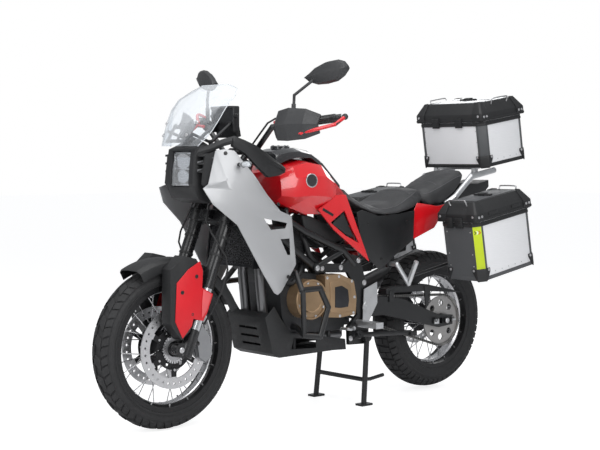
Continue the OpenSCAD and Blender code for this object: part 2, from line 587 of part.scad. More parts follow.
// Tank sections: y, low half width and z, wide half width and z, shoulder half width and z, top z
tank_sections = [
    [500, 96, 905, 140, 930, 128, 1012, 1030],
    [560, 118, 880, 168, 925, 142, 1052, 1072],
    [640, 128, 850, 178, 930, 140, 1070, 1090],
    [730, 122, 848, 172, 925, 130, 1058, 1082],
    [800, 110, 850, 150, 915, 112, 1010, 1046],
    [870, 96, 852, 118, 900, 88, 950, 985],
    [915, 84, 854, 100, 878, 76, 905, 930]];
module fuel_tank() color("#d3141c") on_bike() {
    widen = tank_half_w / 178;
    loft([for (s = tank_sections) [
        [-s[1] * widen, s[0], s[2]], [s[1] * widen, s[0], s[2]], [s[3] * widen, s[0], s[4]],
        [s[3] * widen - 4, s[0], (s[4] + s[6]) / 2 + 16], [s[5] * widen, s[0], s[6]], [0, s[0], s[7]],
        [-s[5] * widen, s[0], s[6]], [-s[3] * widen + 4, s[0], (s[4] + s[6]) / 2 + 16], [-s[3] * widen, s[0], s[4]]]]);
    both() {
        // Lower side band that runs down to a point ahead of the seat panel
        difference() {
            plate([[690, 868], [800, 930], [850, 930], [945, 730], [991, 634], [850, 732], [783, 778]], 150, 157);
            plate([[760, 812], [842, 862], [884, 786], [930, 716], [850, 752]], 140, 170);
        }
        block(96, 152, 800, 850, 868, 886);
    }
}
// Cover sections: y, half width, bottom z, top z
module tank_cover() color("#4a4b4e") on_bike() {
    loft([for (s = [[520, 78, 1056, 1116], [580, 92, 1082, 1128], [640, 90, 1091, 1132], [720, 78, 1088, 1120],
                [800, 62, 1047, 1080], [860, 50, 999, 1034], [918, 44, 942, 984]])
        [[-s[1], s[0], s[2]], [s[1], s[0], s[2]], [s[1], s[0], s[3] - 16],
         [s[1] * 0.6, s[0], s[3]], [-s[1] * 0.6, s[0], s[3]], [-s[1], s[0], s[3] - 16]]]);
    translate([0, 610, 1126]) cylinder(h = 12, r = 42);
}
// Fairing rows from front edge to rear edge; points from top to bottom
fairing_rows = [
    [[134, 160, 1118], [136, 122, 985], [152, 84, 968], [172, 118, 905], [196, 222, 820], [204, 352, 612], [204, 408, 535]],
    [[152, 196, 1124], [168, 210, 1004], [180, 220, 960], [196, 260, 880], [208, 320, 790], [214, 392, 640], [210, 420, 528]],
    [[164, 232, 1118], [182, 296, 1020], [194, 330, 960], [206, 372, 888], [214, 410, 800], [218, 452, 680], [213, 436, 540]],
    [[170, 262, 1078], [188, 320, 1014], [200, 372, 940], [216, 430, 872], [220, 486, 850], [218, 512, 650], [213, 446, 552]]];
module side_fairings() color("#8f9194") on_bike() both() {
    difference() {
        skin(fairing_rows);
        // Two vents
        plate([[350, 844], [464, 822], [456, 800], [382, 796]], 180, 240);
        plate([[430, 757], [478, 758], [482, 690], [466, 690]], 180, 240);
    }
    // Bracket arms in to the radiator and frame
    xcyl(380, 700, 7, 158 + gap, 211);
    xcyl(200, 1000, 7, 120 + gap, 163);
    rod([91.5, 428, 905], [208, 416, 864], 7);
}
module headlight_cowl() color("#222326") on_bike() {
    difference() {
        union() {
            // Nose: closed around the lamp
            plate([[92, 1124], [82, 1060], [76, 985], [104, 925], [160, 905], [184, 960], [184, 1140], [140, 1142]], -92, 92);
            both() loft([for (s = [[88, 96, 1094, 1126], [112, 148, 1112, 1142], [130, 205, 1136, 1166],
                        [146, 250, 1148, 1178], [154, 300, 1130, 1160], [162, 400, 1076, 1112], [168, 496, 1036, 1052]])
                [[s[0] - 24, s[1], s[2]], [s[0], s[1], s[2]], [s[0] + 4, s[1], (s[2] + s[3]) / 2], [s[0] - 4, s[1], s[3]],
                 [s[0] - 22, s[1], s[3] - 4]]]);
            // Slatted cheeks beside the lamp
            both() for (z = [1030, 1062, 1094]) plate([[100, z], [180, z + 14], [182, z + 20], [100, z + 8]], 80, 128);
            both() plate([[110, 1100], [96, 985], [150, 930], [176, 960], [180, 1120]], 121, 128);
        }
        plate([[70, 1116], [70, 972], [118, 972], [150, 1000], [150, 1108], [118, 1116]], -62 - gap, 62 + gap);
        block(-70, 70, 152, 176, 940, 1120);
        rod([0, 230, 994], [0, 150, 1034], 16);
    }
}
module headlight() color("#e8eef2") on_bike()
    plate([[103, 1113], [90, 1044], [87, 976], [118, 976], [146, 1003], [146, 1105], [118, 1113]], -62, 62);
// Screen rows from the lower edge up; half of each row, mirrored
screen_t = 3.4;
screen_rows = [
    [1136, 92, 18, 100], [1180, 128, 44, 128], [1230, 156, 78, 150], [1286, 176, 128, 176],
    [1330, 182, 172, 214], [1368, 140, 212, 262], [1386, 88, 236, 262]];
function screen_row(s) = [for (k = [-4 : 4]) let (u = k / 4)
    [s[1] * sin(90 * u * 0.98), s[2] + (s[3] - s[2]) * pow(abs(u), 2.2), s[0]]];
module windscreen() color("#dfe6ea") on_bike() {
    loft([for (s = screen_rows) concat(screen_row(s),
        [for (k = [8 : -1 : 0]) screen_row(s)[k] + screen_t * [-sin(90 * (k - 4) / 4), 1, 0]])]);
}
module instrument_display() color("#121315") on_bike() {
    // Upright screen unit on the screen bracket
    plate([[296, 1292], [318, 1296], [344, 1178], [322, 1172]], -66, 66);
    both() {
        rod([50, 315, 1240], [52, 196, 1150], 7);
        rod([52, 196, 1162], [56, 196, 1009 + gap], 8);
        rod([54, 200, 1150], [62, 68, 1196], 6);
    }
    both() xcyl(196, 1121, 7, 12.3, 50);
}
module indicators() color("#d9dcdf") on_bike() both() {
    rod([169.8, 250, 1062], [196, 246, 1063], 7);
    rod([194, 246, 1063], [246, 240, 1065], 12);
    rod([60 + gap, 1736, 838], [128, 1738, 838], 6);
    rod([126, 1738, 838], [170, 1742, 838], 11);
}
module rider_seat() color("#2c2c2e") on_bike() {
    // Cushion sections: y, half width low, z low, half width high, z high
    loft([for (s = [[936, 60, 905, 34, 962], [975, 112, 868, 70, 916], [1030, 138, 846, 96, 880], [1090, 148, 836, 112, 868],
                [1180, 150, 840, 124, 884], [1270, 142, 858, 118, 922], [1340, 120, 876, 96, 948], [1384, 100, 892, 76, 946]])
        [[-s[1] * seat_half_w / 150, s[0], s[2]], [s[1] * seat_half_w / 150, s[0], s[2]],
         [s[1] * seat_half_w / 150 + 2, s[0], (s[2] * 2 + s[4]) / 3], [s[3] + 8, s[0], s[4] - 6],
         [s[3] * 0.5, s[0], s[4]], [-s[3] * 0.5, s[0], s[4]], [-s[3] - 8, s[0], s[4] - 6],
         [-s[1] * seat_half_w / 150 - 2, s[0], (s[2] * 2 + s[4]) / 3]]]);
}
module passenger_seat() color("#2c2c2e") on_bike()
    loft([for (s = [[1392, 70, 892, 62, 934], [1440, 98, 868, 92, 952], [1520, 108, 878, 104, 986], [1600, 106, 930, 106, 1018],
                [1650, 96, 972, 98, 1028], [1676, 80, 1000, 82, 1030]])
        [[-s[1] * pillion_half_w / 112, s[0], s[2]], [s[1] * pillion_half_w / 112, s[0], s[2]],
         [s[3] * pillion_half_w / 112 + 4, s[0], s[4] - 24], [s[3] * 0.8, s[0], s[4]],
         [-s[3] * 0.8, s[0], s[4]], [-s[3] * pillion_half_w / 112 - 4, s[0], s[4] - 24]]]);
module side_panels() color("#2a2b2d") on_bike() both() {
    plate([[960, 860], [1060, 832], [1180, 836], [1290, 850], [1284, 716], [1180, 660], [1072, 588], [996, 650],
        [950, 745], [930, 850]], 138, 142);
    xcyl(1180, 817.7, 7, rail_x + 13 + gap, 139);
    xcyl(1000, 668, 6, 133.6, 139);
}
module tail_panels() color("#d3141c") on_bike() both() {
    plate([[1296, 852], [1316, 884], [1452, 866], [1500, 874], [1460, 800], [1430, 766], [1290, 718]], 130, 134);
    xcyl(1380, 843, 7, 121, 131);
}
module luggage_rack() color("#a9abae") on_bike() {
    both() {
        tube([[128, 1510, 874], [146, 1556, 908], [150, 1664, 1001], [132, 1846, 1030]], 14);
        xcyl(1510, 864, 9, 115.3, 128);
        rod([120, 1700, 1012], [146, 1700, 1010], 10);
    }
    // Carrier plate under the top case
    translate([0, case_y, case_z]) rotate([case_tilt, 0, 0]) block(-134, 134, 8, 232, -12, -gap);
    both() block(112, 132, 1706, 1730, 1004, 1042);
}
module tail_fender() color("#202124") on_bike() {
    // Tail tray under the passenger seat, lamp and plate holder
    difference() {
        plate([[1400, 862], [1440, 856], [1560, 874], [1680, 968], [1790, 964], [1866, 982], [1868, 950], [1820, 905],
            [1740, 880], [1640, 842], [1440, 800], [1380, 790], [1330, 760], [1310, 838]], -80, 80);
        for (m = tail_members) xcyl(m[0], m[1], m[2] + gap, -100, 100);
    }
    plate([[1716, 885], [1752, 890], [1824, 640], [1800, 628]], -60, 60);
    plate([[1790, 700], [1796, 702], [1838, 560], [1832, 558]], -95, 95);
}
module pannier_racks() color("#1d1e20") on_bike() both() {
    // A loop beside the case, a stay from the frame, and the hooks that hold the case
    tube([[114.6, 1534, 865], [238, 1530, 846], [238, 1450, 790], [238, 1470, 612], [238, 1610, 640], [238, 1640, 835],
    [113.2, 1618, 877]], 9);
    rod([210.6, 1212.2, 562.2], [236, 1470, 618], 7);
    for (p = [[1460, 680], [1628, 780]]) xcyl(p[0], p[1], 7, 238, pannier_x - 0.3);
}
module on_case() { translate([0, case_y, case_z]) rotate([case_tilt, 0, 0]) children(); }
module on_pannier() { translate([pannier_x, pannier_y, pannier_z]) rotate([pannier_tilt, 0, 0]) children(); }
// An open sheet box with chamfered vertical corners.
module sheet_box(w, d, h) {
    c = 26;
    outline = [[c, 0], [w - c, 0], [w, c], [w, d - c], [w - c, d], [c, d], [0, d - c], [0, c]];
    k = case_wall;
    inner = [[c + k / 3, k], [w - c - k / 3, k], [w - k, c + k / 3], [w - k, d - c - k / 3], [w - c - k / 3, d - k],
        [c + k / 3, d - k], [k, d - c - k / 3], [k, c + k / 3]];
    difference() {
        linear_extrude(h) polygon(outline);
        translate([0, 0, k]) linear_extrude(h) polygon(inner);
    }
}
// Two outer knuckles and a pin on the case, at the top of its rear wall.
module case_hinge(w, d, h, y_out = hinge_out) {
    for (x = [w * 0.2, w * 0.8]) translate([x, d + y_out, h]) {
        rotate([0, 90, 0]) translate([0, 0, -30]) cylinder(h = 60, r = hinge_pin_r);
        for (s = [-30, 18]) translate([s, 0, 0]) {
            rotate([0, 90, 0]) cylinder(h = 12, r = hinge_r);
            translate([0, -y_out, -hinge_r]) cube([12, y_out, hinge_r]);
        }
    }
}
module lid_hinge(w, d, h, y_out = hinge_out) {
    for (x = [w * 0.2, w * 0.8]) translate([x, d + y_out, h]) difference() {
        union() {
            rotate([0, 90, 0]) translate([0, 0, -17.5]) cylinder(h = 35, r = hinge_r);
            translate([-17.5, -y_out, 0.5]) cube([35, y_out, hinge_r]);
        }
        rotate([0, 90, 0]) translate([0, 0, -40]) cylinder(h = 80, r = hinge_pin_r + run);
    }
}
module case_lid(w, d, h, lid_h) {
    lip = case_lip;
    translate([0, 0, h + gap]) difference() {
        union() {
            translate([-lip, -lip, 0]) cube([w + 2 * lip, d + 2 * lip, lid_h * 0.42]);
            loft([for (s = [[-lip, lid_h * 0.42 - 1], [-lip, lid_h * 0.42], [28, lid_h]])
                [[s[0], s[0], s[1]], [w - s[0], s[0], s[1]], [w - s[0], d - s[0], s[1]], [s[0], d - s[0], s[1]]]]);
        }
        translate([case_wall, case_wall, -1]) cube([w - 2 * case_wall, d - 2 * case_wall, lid_h * 0.42]);
    }
    lid_hinge(w, d, h);
}
module top_case() color("#c9cbce") on_bike() on_case() translate([-case_w / 2, 0, 0]) {
    sheet_box(case_w, case_d, case_h);
    case_hinge(case_w, case_d, case_h);
}
module top_case_lid() color("#1b1c1e") on_bike() on_case() translate([-case_w / 2, 0, 0])
    case_lid(case_w, case_d, case_h, case_lid_h);
module one_pannier() on_pannier() {
    sheet_box(pannier_w, pannier_d, pannier_h);
    case_hinge(pannier_w, pannier_d, pannier_h);
}
module one_pannier_lid() on_pannier() case_lid(pannier_w, pannier_d, pannier_h, pannier_lid_h);
module left_pannier() color("#c9cbce") on_bike() one_pannier();
module right_pannier() color("#c9cbce") on_bike() mirror([1, 0, 0]) one_pannier();
module left_pannier_lid() color("#1b1c1e") on_bike() one_pannier_lid();
module right_pannier_lid() color("#1b1c1e") on_bike() mirror([1, 0, 0]) one_pannier_lid();

// ---------------------------------------------------------------- feet

module foot_pegs() color("#77797c") on_bike() both() {
    // Rider's peg on its bracket
    xcyl(940, 369, 12, plate_x + 8 + gap, 172);
    block(166, 282, 912, 956, 352, 378);
    // Passenger's hanger and folded peg
    tube([[plate_x + gap, 1152, 614], [168, 1152, 613], [188, 1205, 524], [250, 1192, 628]], 11);
}
module foot_controls() color("#b4b6b9") on_bike() {
    both() plate([[968, 512], [1048, 540], [1050, 446], [990, 356], [960, 352]], plate_x + 16.3, plate_x + 20);
    both() xcyl(990, 500, 9, plate_x + 8 + gap, plate_x + 18);
    // Gear lever and brake pedal
    both() {
        xcyl(900, 345, 9, plate_x + 8 + gap, plate_x + 30);
        tube([[plate_x + 24, 900, 345], [178, 862, 345], [186, 800, 356], [232, 796, 358]], 6);
    }
}
module side_stand() color("#222326") on_bike() {
    stand_end = stand_pivot + [2, side_stand_len, -16];
    difference() {
        union() {
            rod(stand_pivot, stand_end, 11);
            rod(stand_pivot - 9 * stand_dir, stand_pivot + 9 * stand_dir, 17);
        }
        rod(stand_pivot - 40 * stand_dir, stand_pivot + 40 * stand_dir, 6 + run);
    }
    translate(stand_end) block(-18, 18, -16, 24, -14, 4);
}
module centre_stand() color("#222326") on_bike() {
    foot_y = 958;
    both() {
        difference() {
            union() {
                rod([plate_x + 21, pivot_y, 300], [centre_stand_x + 8, foot_y, 5], 12);
                xcyl(pivot_y, 300, 20, plate_x + 8.5, plate_x + 32);
            }
            xcyl(pivot_y, 300, 10 + run, 60, 240);
            block(100, 260, 900, 1000, -40, 0);
        }
        block(centre_stand_x - 14, centre_stand_x + 30, foot_y - 30, foot_y + 34, 0, 9);
    }
    xcyl(966, 112, 10, -plate_x - 20, plate_x + 20);
    // Foot tang on the left
    tube([[plate_x + 16, 966, 112], [plate_x + 16, 1010, 110], [plate_x + 16, 1090, 120]], 8);
}

main_frame();
engine();
engine_covers();
radiator();
exhaust();
fuel_tank();
tank_cover();
side_fairings();
headlight_cowl();
headlight();
windscreen();
instrument_display();
indicators();
bash_plate();
crash_bars();
rider_seat();
passenger_seat();
side_panels();
tail_panels();
luggage_rack();
tail_fender();
pannier_racks();
left_pannier();
right_pannier();
top_case();
foot_pegs();
foot_controls();
swingarm();
rear_shock();
chain();
chain_guard();
rear_caliper();
top_case_lid();
left_pannier_lid();
right_pannier_lid();
side_stand();
centre_stand();
rear_tyre();
rear_wheel();
rear_sprocket();
rear_brake_disc();
fork();
handlebar();
hand_guards();
mirrors();
front_fender();
fork_guards();
front_calipers();
brake_hoses();
front_tyre();
front_wheel();
front_brake_discs();
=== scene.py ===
"""Finishes and fine detail for an adventure touring motorcycle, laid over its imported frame."""
import json
import math

import bmesh
import bpy
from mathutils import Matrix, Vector
from mathutils.bvhtree import BVHTree

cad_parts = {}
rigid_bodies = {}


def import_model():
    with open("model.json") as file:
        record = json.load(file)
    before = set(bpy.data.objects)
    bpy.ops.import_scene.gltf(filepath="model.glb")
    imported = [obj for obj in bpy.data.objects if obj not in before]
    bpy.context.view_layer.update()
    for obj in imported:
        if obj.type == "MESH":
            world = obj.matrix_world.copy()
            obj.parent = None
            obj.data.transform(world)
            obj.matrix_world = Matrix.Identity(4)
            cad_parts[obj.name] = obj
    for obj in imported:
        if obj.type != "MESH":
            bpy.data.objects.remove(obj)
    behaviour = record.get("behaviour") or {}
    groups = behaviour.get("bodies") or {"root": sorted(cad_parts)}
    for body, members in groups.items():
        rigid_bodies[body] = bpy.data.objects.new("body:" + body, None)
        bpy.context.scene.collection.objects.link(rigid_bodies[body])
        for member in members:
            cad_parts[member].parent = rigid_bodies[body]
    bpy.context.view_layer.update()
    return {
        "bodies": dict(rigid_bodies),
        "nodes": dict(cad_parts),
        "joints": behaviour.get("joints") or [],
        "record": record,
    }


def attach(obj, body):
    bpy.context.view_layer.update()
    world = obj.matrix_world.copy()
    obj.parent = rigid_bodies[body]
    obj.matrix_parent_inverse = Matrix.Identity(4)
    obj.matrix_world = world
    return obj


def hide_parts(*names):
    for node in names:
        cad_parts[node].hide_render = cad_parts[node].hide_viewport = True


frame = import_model()
NODES = frame["nodes"]
BODY = {name: body for body, names in frame["record"]["behaviour"]["bodies"].items() for name in names}
MID_Y = 837.1348  # middle of the motorcycle, behind the front axle, in mm
FRONT_AXLE = (0.0, 329.0)
REAR_AXLE = (1520.0, 329.0)


def at(x, y, z):
    """A point in mm, y measured back from the front axle, as metres in the shared frame."""
    return Vector((x / 1000, (y - MID_Y) / 1000, z / 1000))


# ------------------------------------------------------------------ shader maths and finishes
class Flow:
    """A number that varies over a surface; sums on it add Math nodes."""

    def __init__(self, finish, socket):
        self.finish, self.socket = finish, socket

    def _sum(self, operation, a, b=None, clamp=False):
        node = self.finish.node("ShaderNodeMath", {"operation": operation, "use_clamp": clamp},
            {0: a, **({} if b is None else {1: b})})
        return Flow(self.finish, node.outputs[0])

    def __add__(self, o): return self._sum("ADD", self, o)
    def __radd__(self, o): return self._sum("ADD", o, self)
    def __sub__(self, o): return self._sum("SUBTRACT", self, o)
    def __rsub__(self, o): return self._sum("SUBTRACT", o, self)
    def __mul__(self, o): return self._sum("MULTIPLY", self, o)
    def __rmul__(self, o): return self._sum("MULTIPLY", o, self)
    def __truediv__(self, o): return self._sum("DIVIDE", self, o)
    def __pow__(self, o): return self._sum("POWER", self, o)
    def above(self, o): return self._sum("GREATER_THAN", self, o)
    def below(self, o): return self._sum("LESS_THAN", self, o)
    def size(self): return self._sum("ABSOLUTE", self)
    def root(self): return self._sum("SQRT", self)
    def part(self): return self._sum("FRACT", self)

    def ramp(self, low, high, out_low=0.0, out_high=1.0):
        node = self.finish.node("ShaderNodeMapRange", {"clamp": True},
            {0: self, 1: low, 2: high, 3: out_low, 4: out_high})
        return Flow(self.finish, node.outputs[0])


class Finish:
    """One material, with its nodes made by one method."""

    def __init__(self, name, colour=(0.5, 0.5, 0.5), rough=0.5, metal=0.0, coat=0.0, coat_rough=0.08,
        ior=1.5, sheen=0.0):
        self.material = bpy.data.materials.new(name)
        self.material.use_nodes = True
        self.tree = self.material.node_tree
        self.shader = self.tree.nodes["Principled BSDF"]
        self.set(**{"Base Color": (*colour, 1), "Roughness": rough, "Metallic": metal, "Coat Weight": coat,
                    "Coat Roughness": coat_rough, "IOR": ior, "Sheen Weight": sheen})
        self._place = None

    def node(self, kind, settings=None, values=None):
        made = self.tree.nodes.new(kind)
        for key, value in (settings or {}).items():
            if key == "stops":
                ramp = made.color_ramp
                while len(ramp.elements) < len(value):
                    ramp.elements.new(0.5)
                for element, (position, colour) in zip(ramp.elements, value):
                    element.position, element.color = position, (*colour, 1)
            else:
                setattr(made, key, value)
        for key, value in (values or {}).items():
            socket = made.inputs[key]
            if isinstance(value, Flow):
                self.tree.links.new(value.socket, socket)
            elif isinstance(value, bpy.types.NodeSocket):
                self.tree.links.new(value, socket)
            else:
                socket.default_value = value
        return made

    def set(self, **values):
        for key, value in values.items():
            socket = self.shader.inputs[key]
            if isinstance(value, Flow):
                self.tree.links.new(value.socket, socket)
            elif isinstance(value, bpy.types.NodeSocket):
                self.tree.links.new(value, socket)
            else:
                socket.default_value = value
        return self

    def place(self):
        """Object coordinates, as a vector socket."""
        if self._place is None:
            self._place = self.node("ShaderNodeTexCoord").outputs["Object"]
        return self._place

    def xyz(self):
        split = self.node("ShaderNodeSeparateXYZ", values={0: self.place()})
        return [Flow(self, split.outputs[k]) for k in range(3)]

    def stretched(self, scale, turn=(0, 0, 0)):
        return self.node("ShaderNodeMapping", values={0: self.place(), 2: turn, 3: scale}).outputs[0]

    def noise(self, scale, detail=3.0, vector=None):
        made = self.node("ShaderNodeTexNoise", values={"Vector": vector or self.place(), "Scale": scale,
            "Detail": detail})
        return Flow(self, made.outputs[0])

    def cells(self, scale, vector=None, feature="F1"):
        made = self.node("ShaderNodeTexVoronoi", {"feature": feature},
            {"Vector": vector or self.place(), "Scale": scale})
        return Flow(self, made.outputs["Distance"])

    def mix(self, factor, a, b):
        made = self.node("ShaderNodeMix", {"data_type": "RGBA"},
            {0: factor, 6: (*a[:3], 1) if isinstance(a, tuple) else a,
                                                                 7: (*b[:3], 1) if isinstance(b,
                                                                     tuple) else b})
        return made.outputs[2]

    def blend(self, factor, a, b):
        made = self.node("ShaderNodeMix", {"data_type": "FLOAT"}, {0: factor, 2: a, 3: b})
        return Flow(self, made.outputs[0])

    def bump(self, height, strength=0.3, distance=0.001):
        self.set(Normal=self.node("ShaderNodeBump", values={"Strength": strength, "Distance": distance,
            "Height": height}).outputs[0])
        return self

    def tone(self, colour, amount=0.12, scale=14.0):
        """Slightly uneven colour, as old paint and moulded plastic have."""
        dark = tuple(c * (1 - amount) for c in colour)
        light = tuple(min(1, c * (1 + amount)) for c in colour)
        self.set(**{"Base Color": self.mix(self.noise(scale), dark, light)})
        return self


def painted_metal(name, colour, rough=0.34, coat=0.25):
    f = Finish(name, colour, rough, 0.25, coat, 0.2)
    f.tone(colour, 0.1, 9)
    f.set(Roughness=f.noise(60).ramp(0.3, 0.7, rough - 0.05, rough + 0.07))
    return f.bump(f.noise(900, 2), 0.05, 0.0005)


def cast_metal(name, colour, rough=0.45, metal=0.75):
    f = Finish(name, colour, rough, metal)
    f.tone(colour, 0.14, 22)
    f.set(Roughness=f.noise(120).ramp(0.3, 0.7, rough - 0.07, rough + 0.08))
    return f.bump(f.noise(1400, 3), 0.22, 0.0005)


def moulded_plastic(name, colour, rough=0.52, grain=1500.0, strength=0.16):
    f = Finish(name, colour, rough, 0.0, 0.0, 0.1, 1.48)
    f.tone(colour, 0.12, 11)
    f.set(Roughness=f.noise(80).ramp(0.3, 0.7, rough - 0.05, rough + 0.06))
    return f.bump(f.cells(grain), strength, 0.0004)


def gloss_paint(name, colour, metal=0.0, rough=0.3, coat=1.0):
    f = Finish(name, colour, rough, metal, coat, 0.06)
    f.tone(colour, 0.06, 5)
    f.set(Roughness=f.noise(2600, 1).ramp(0.3, 0.7, rough - 0.04, rough + 0.05))
    return f.bump(f.noise(45, 2), 0.015, 0.001)


def brushed_metal(name, colour, along=(1, 60, 60), rough=0.3, metal=0.95):
    f = Finish(name, colour, rough, metal)
    streaks = f.noise(28, 4, f.stretched(along))
    f.set(**{"Base Color": f.mix(streaks, tuple(c * 0.88 for c in colour),
        tuple(min(1, c * 1.08) for c in colour)),
             "Roughness": streaks.ramp(0.3, 0.7, rough - 0.06, rough + 0.1)})
    return f.bump(streaks, 0.06, 0.0004)


def rubber(name, colour=(0.022, 0.022, 0.023), rough=0.72):
    f = Finish(name, colour, rough, 0.0, 0.0, 0.1, 1.45)
    f.tone(colour, 0.25, 7)
    f.set(Roughness=f.noise(70).ramp(0.3, 0.7, rough - 0.08, rough + 0.06))
    return f.bump(f.noise(700, 3), 0.12, 0.0006)


BLACK = (0.013, 0.0135, 0.0145)
frame_black = painted_metal("frame_black", BLACK)
fork_black = painted_metal("fork_black", (0.011, 0.011, 0.012), 0.28, 0.4)
engine_grey = cast_metal("engine_cast_black", (0.03, 0.031, 0.033), 0.5, 0.5)
bronze = cast_metal("engine_cover_bronze", (0.36, 0.245, 0.145), 0.4, 0.7)
dark_metal = cast_metal("dark_cast_metal", (0.035, 0.036, 0.04), 0.42, 0.7)
silver_metal = cast_metal("silver_cast_metal", (0.6, 0.61, 0.62), 0.34, 0.9)
caliper_grey = cast_metal("caliper_grey", (0.32, 0.325, 0.335), 0.36, 0.85)
exhaust_steel = brushed_metal("exhaust_steel", (0.2, 0.2, 0.205), (30, 2, 30), 0.36)
red_paint = gloss_paint("red_gloss_paint", (0.66, 0.006, 0.012), 0.0, 0.28)
cover_gloss = gloss_paint("tank_cover_gloss", (0.028, 0.03, 0.033), 0.2, 0.22)
silver_paint = gloss_paint("silver_satin_paint", (0.40, 0.405, 0.415), 0.35, 0.42, 0.35)
black_plastic = moulded_plastic("black_moulded_plastic", (0.015, 0.0155, 0.0165))
smooth_plastic = moulded_plastic("smooth_black_plastic", (0.012, 0.0125, 0.0135), 0.36, 2200, 0.05)
grey_plastic = moulded_plastic("dark_grey_plastic", (0.03, 0.031, 0.033), 0.46)
red_plastic = moulded_plastic("red_moulded_plastic", (0.62, 0.006, 0.014), 0.4, 1800, 0.06)
case_metal = brushed_metal("case_aluminium", (0.86, 0.865, 0.88), (60, 1.2, 60), 0.45, 0.22)
lid_plate_metal = brushed_metal("lid_plate_aluminium", (0.7, 0.71, 0.72), (2, 60, 60), 0.32, 0.8)
chain_steel = brushed_metal("chain_steel", (0.42, 0.41, 0.4), (20, 20, 20), 0.38)
tyre_rubber = rubber("tyre_rubber")
hose_rubber = rubber("hose_rubber", (0.016, 0.016, 0.017), 0.5)
shock_red = painted_metal("shock_spring_red", (0.42, 0.01, 0.012), 0.35)
bolt_steel = brushed_metal("bolt_steel", (0.62, 0.62, 0.63), (40, 40, 40), 0.28)
bolt_black = painted_metal("bolt_black", (0.02, 0.02, 0.021), 0.38)

disc_steel = Finish("disc_steel", (0.6, 0.6, 0.61), 0.25, 1.0)


def radial_finish(name, axle, rules, base):
    """Colours and shine set by the distance from an axle: rules are (outer radius, colour, rough, metal)."""
    f = Finish(name, base[0], base[1], base[2])
    x, y, z = f.xyz()
    dy, dz = y - (axle[0] - MID_Y) / 1000, z - axle[1] / 1000
    r = (dy * dy + dz * dz).root()
    colour, rough, metal = (*base[0], 1), base[1], base[2]
    grain = f.noise(220, 3)
    for outer, c, ro, me in rules:
        inside = r.below(outer / 1000)
        colour = f.mix(inside, colour, c)
        rough, metal = f.blend(inside, rough, ro), f.blend(inside, metal, me)
    f.set(**{"Base Color": colour, "Roughness": rough + grain.ramp(0.3, 0.7, -0.04, 0.05),
        "Metallic": metal})
    return f.bump(grain, 0.05, 0.0004)


rim_front = radial_finish("front_rim_and_spokes", FRONT_AXLE,
    [(228, (0.56, 0.56, 0.57), 0.26, 1.0), (62, (0.03, 0.03, 0.032), 0.4, 0.6),
                                                              (22, (0.5, 0.5, 0.5), 0.3, 1.0)],
                                                                  ((0.014, 0.014, 0.015), 0.3, 0.3))
rim_rear = radial_finish("rear_rim_and_spokes", REAR_AXLE, [(206, (0.56, 0.56, 0.57), 0.26, 1.0), (66,
    (0.03, 0.03, 0.032), 0.4, 0.6),
                                                           (22, (0.5, 0.5, 0.5), 0.3, 1.0)],
                                                               ((0.014, 0.014, 0.015), 0.3, 0.3))
disc_front = radial_finish("front_disc_steel", FRONT_AXLE, [(112, (0.016, 0.016, 0.017), 0.35, 0.5), (52,
    (0.45, 0.45, 0.46), 0.35, 1.0)],
                           ((0.62, 0.62, 0.63), 0.3, 1.0))
disc_rear = radial_finish("rear_disc_steel", REAR_AXLE, [(84, (0.016, 0.016, 0.017), 0.35, 0.5)],
    ((0.62, 0.62, 0.63), 0.3, 1.0))


def glass(name, colour, clear=0.85, rough=0.04, tint_edge=True):
    """Clear plastic that lets most light straight through, with a glossy face."""
    f = Finish(name, colour, rough, 0.0, 0.6, 0.03, 1.45)
    see = f.node("ShaderNodeBsdfTransparent", values={0: (*colour, 1)})
    rim = f.node("ShaderNodeLayerWeight", values={0: 0.35})
    wear = f.noise(12, 2)
    f.set(Roughness=wear.ramp(0.2, 0.8, rough, rough + 0.03))
    factor = (Flow(f, rim.outputs["Facing"]) * -0.55 + clear) if tint_edge else Flow(f,
        rim.outputs["Facing"]) * 0 + clear
    out = f.tree.nodes["Material Output"]
    shade = f.node("ShaderNodeMixShader", values={0: factor, 1: f.shader.outputs[0], 2: see.outputs[0]})
    f.tree.links.new(shade.outputs[0], out.inputs[0])
    return f


screen_clear = glass("windscreen_clear", (0.93, 0.95, 0.97), 0.93)
lens_clear = glass("lamp_lens_clear", (0.92, 0.94, 0.96), 0.93)


def dress(name, finish):
    """Gives a node its finish."""
    mesh = NODES[name].data
    mesh.materials.clear()
    mesh.materials.append(finish.material)


CAD_FINISH = {
    "main_frame": frame_black, "engine": engine_grey, "engine_covers": bronze, "radiator": dark_metal,
        "exhaust": exhaust_steel,
    "fuel_tank": red_paint, "tank_cover": cover_gloss, "side_fairings": silver_paint,
        "headlight_cowl": black_plastic,
    "headlight": lens_clear, "windscreen": screen_clear, "instrument_display": smooth_plastic,
        "indicators": lens_clear,
    "bash_plate": black_plastic, "crash_bars": frame_black, "rider_seat": black_plastic,
        "passenger_seat": black_plastic,
    "side_panels": smooth_plastic, "tail_panels": red_paint, "luggage_rack": silver_metal,
        "tail_fender": black_plastic,
    "pannier_racks": frame_black, "left_pannier": case_metal, "right_pannier": case_metal,
        "top_case": case_metal,
    "foot_pegs": silver_metal, "foot_controls": silver_metal, "swingarm": frame_black,
        "rear_shock": shock_red, "chain": chain_steel,
    "chain_guard": black_plastic, "rear_caliper": dark_metal, "top_case_lid": smooth_plastic,
        "left_pannier_lid": smooth_plastic,
    "right_pannier_lid": smooth_plastic, "side_stand": frame_black, "centre_stand": frame_black,
        "rear_tyre": tyre_rubber,
    "rear_wheel": rim_rear, "rear_sprocket": chain_steel, "rear_brake_disc": disc_rear,
        "fork": fork_black, "handlebar": fork_black,
    "hand_guards": grey_plastic, "mirrors": grey_plastic, "front_fender": black_plastic,
        "fork_guards": red_plastic,
    "front_calipers": caliper_grey, "brake_hoses": hose_rubber, "front_tyre": tyre_rubber,
        "front_wheel": rim_front,
    "front_brake_discs": disc_front,
}
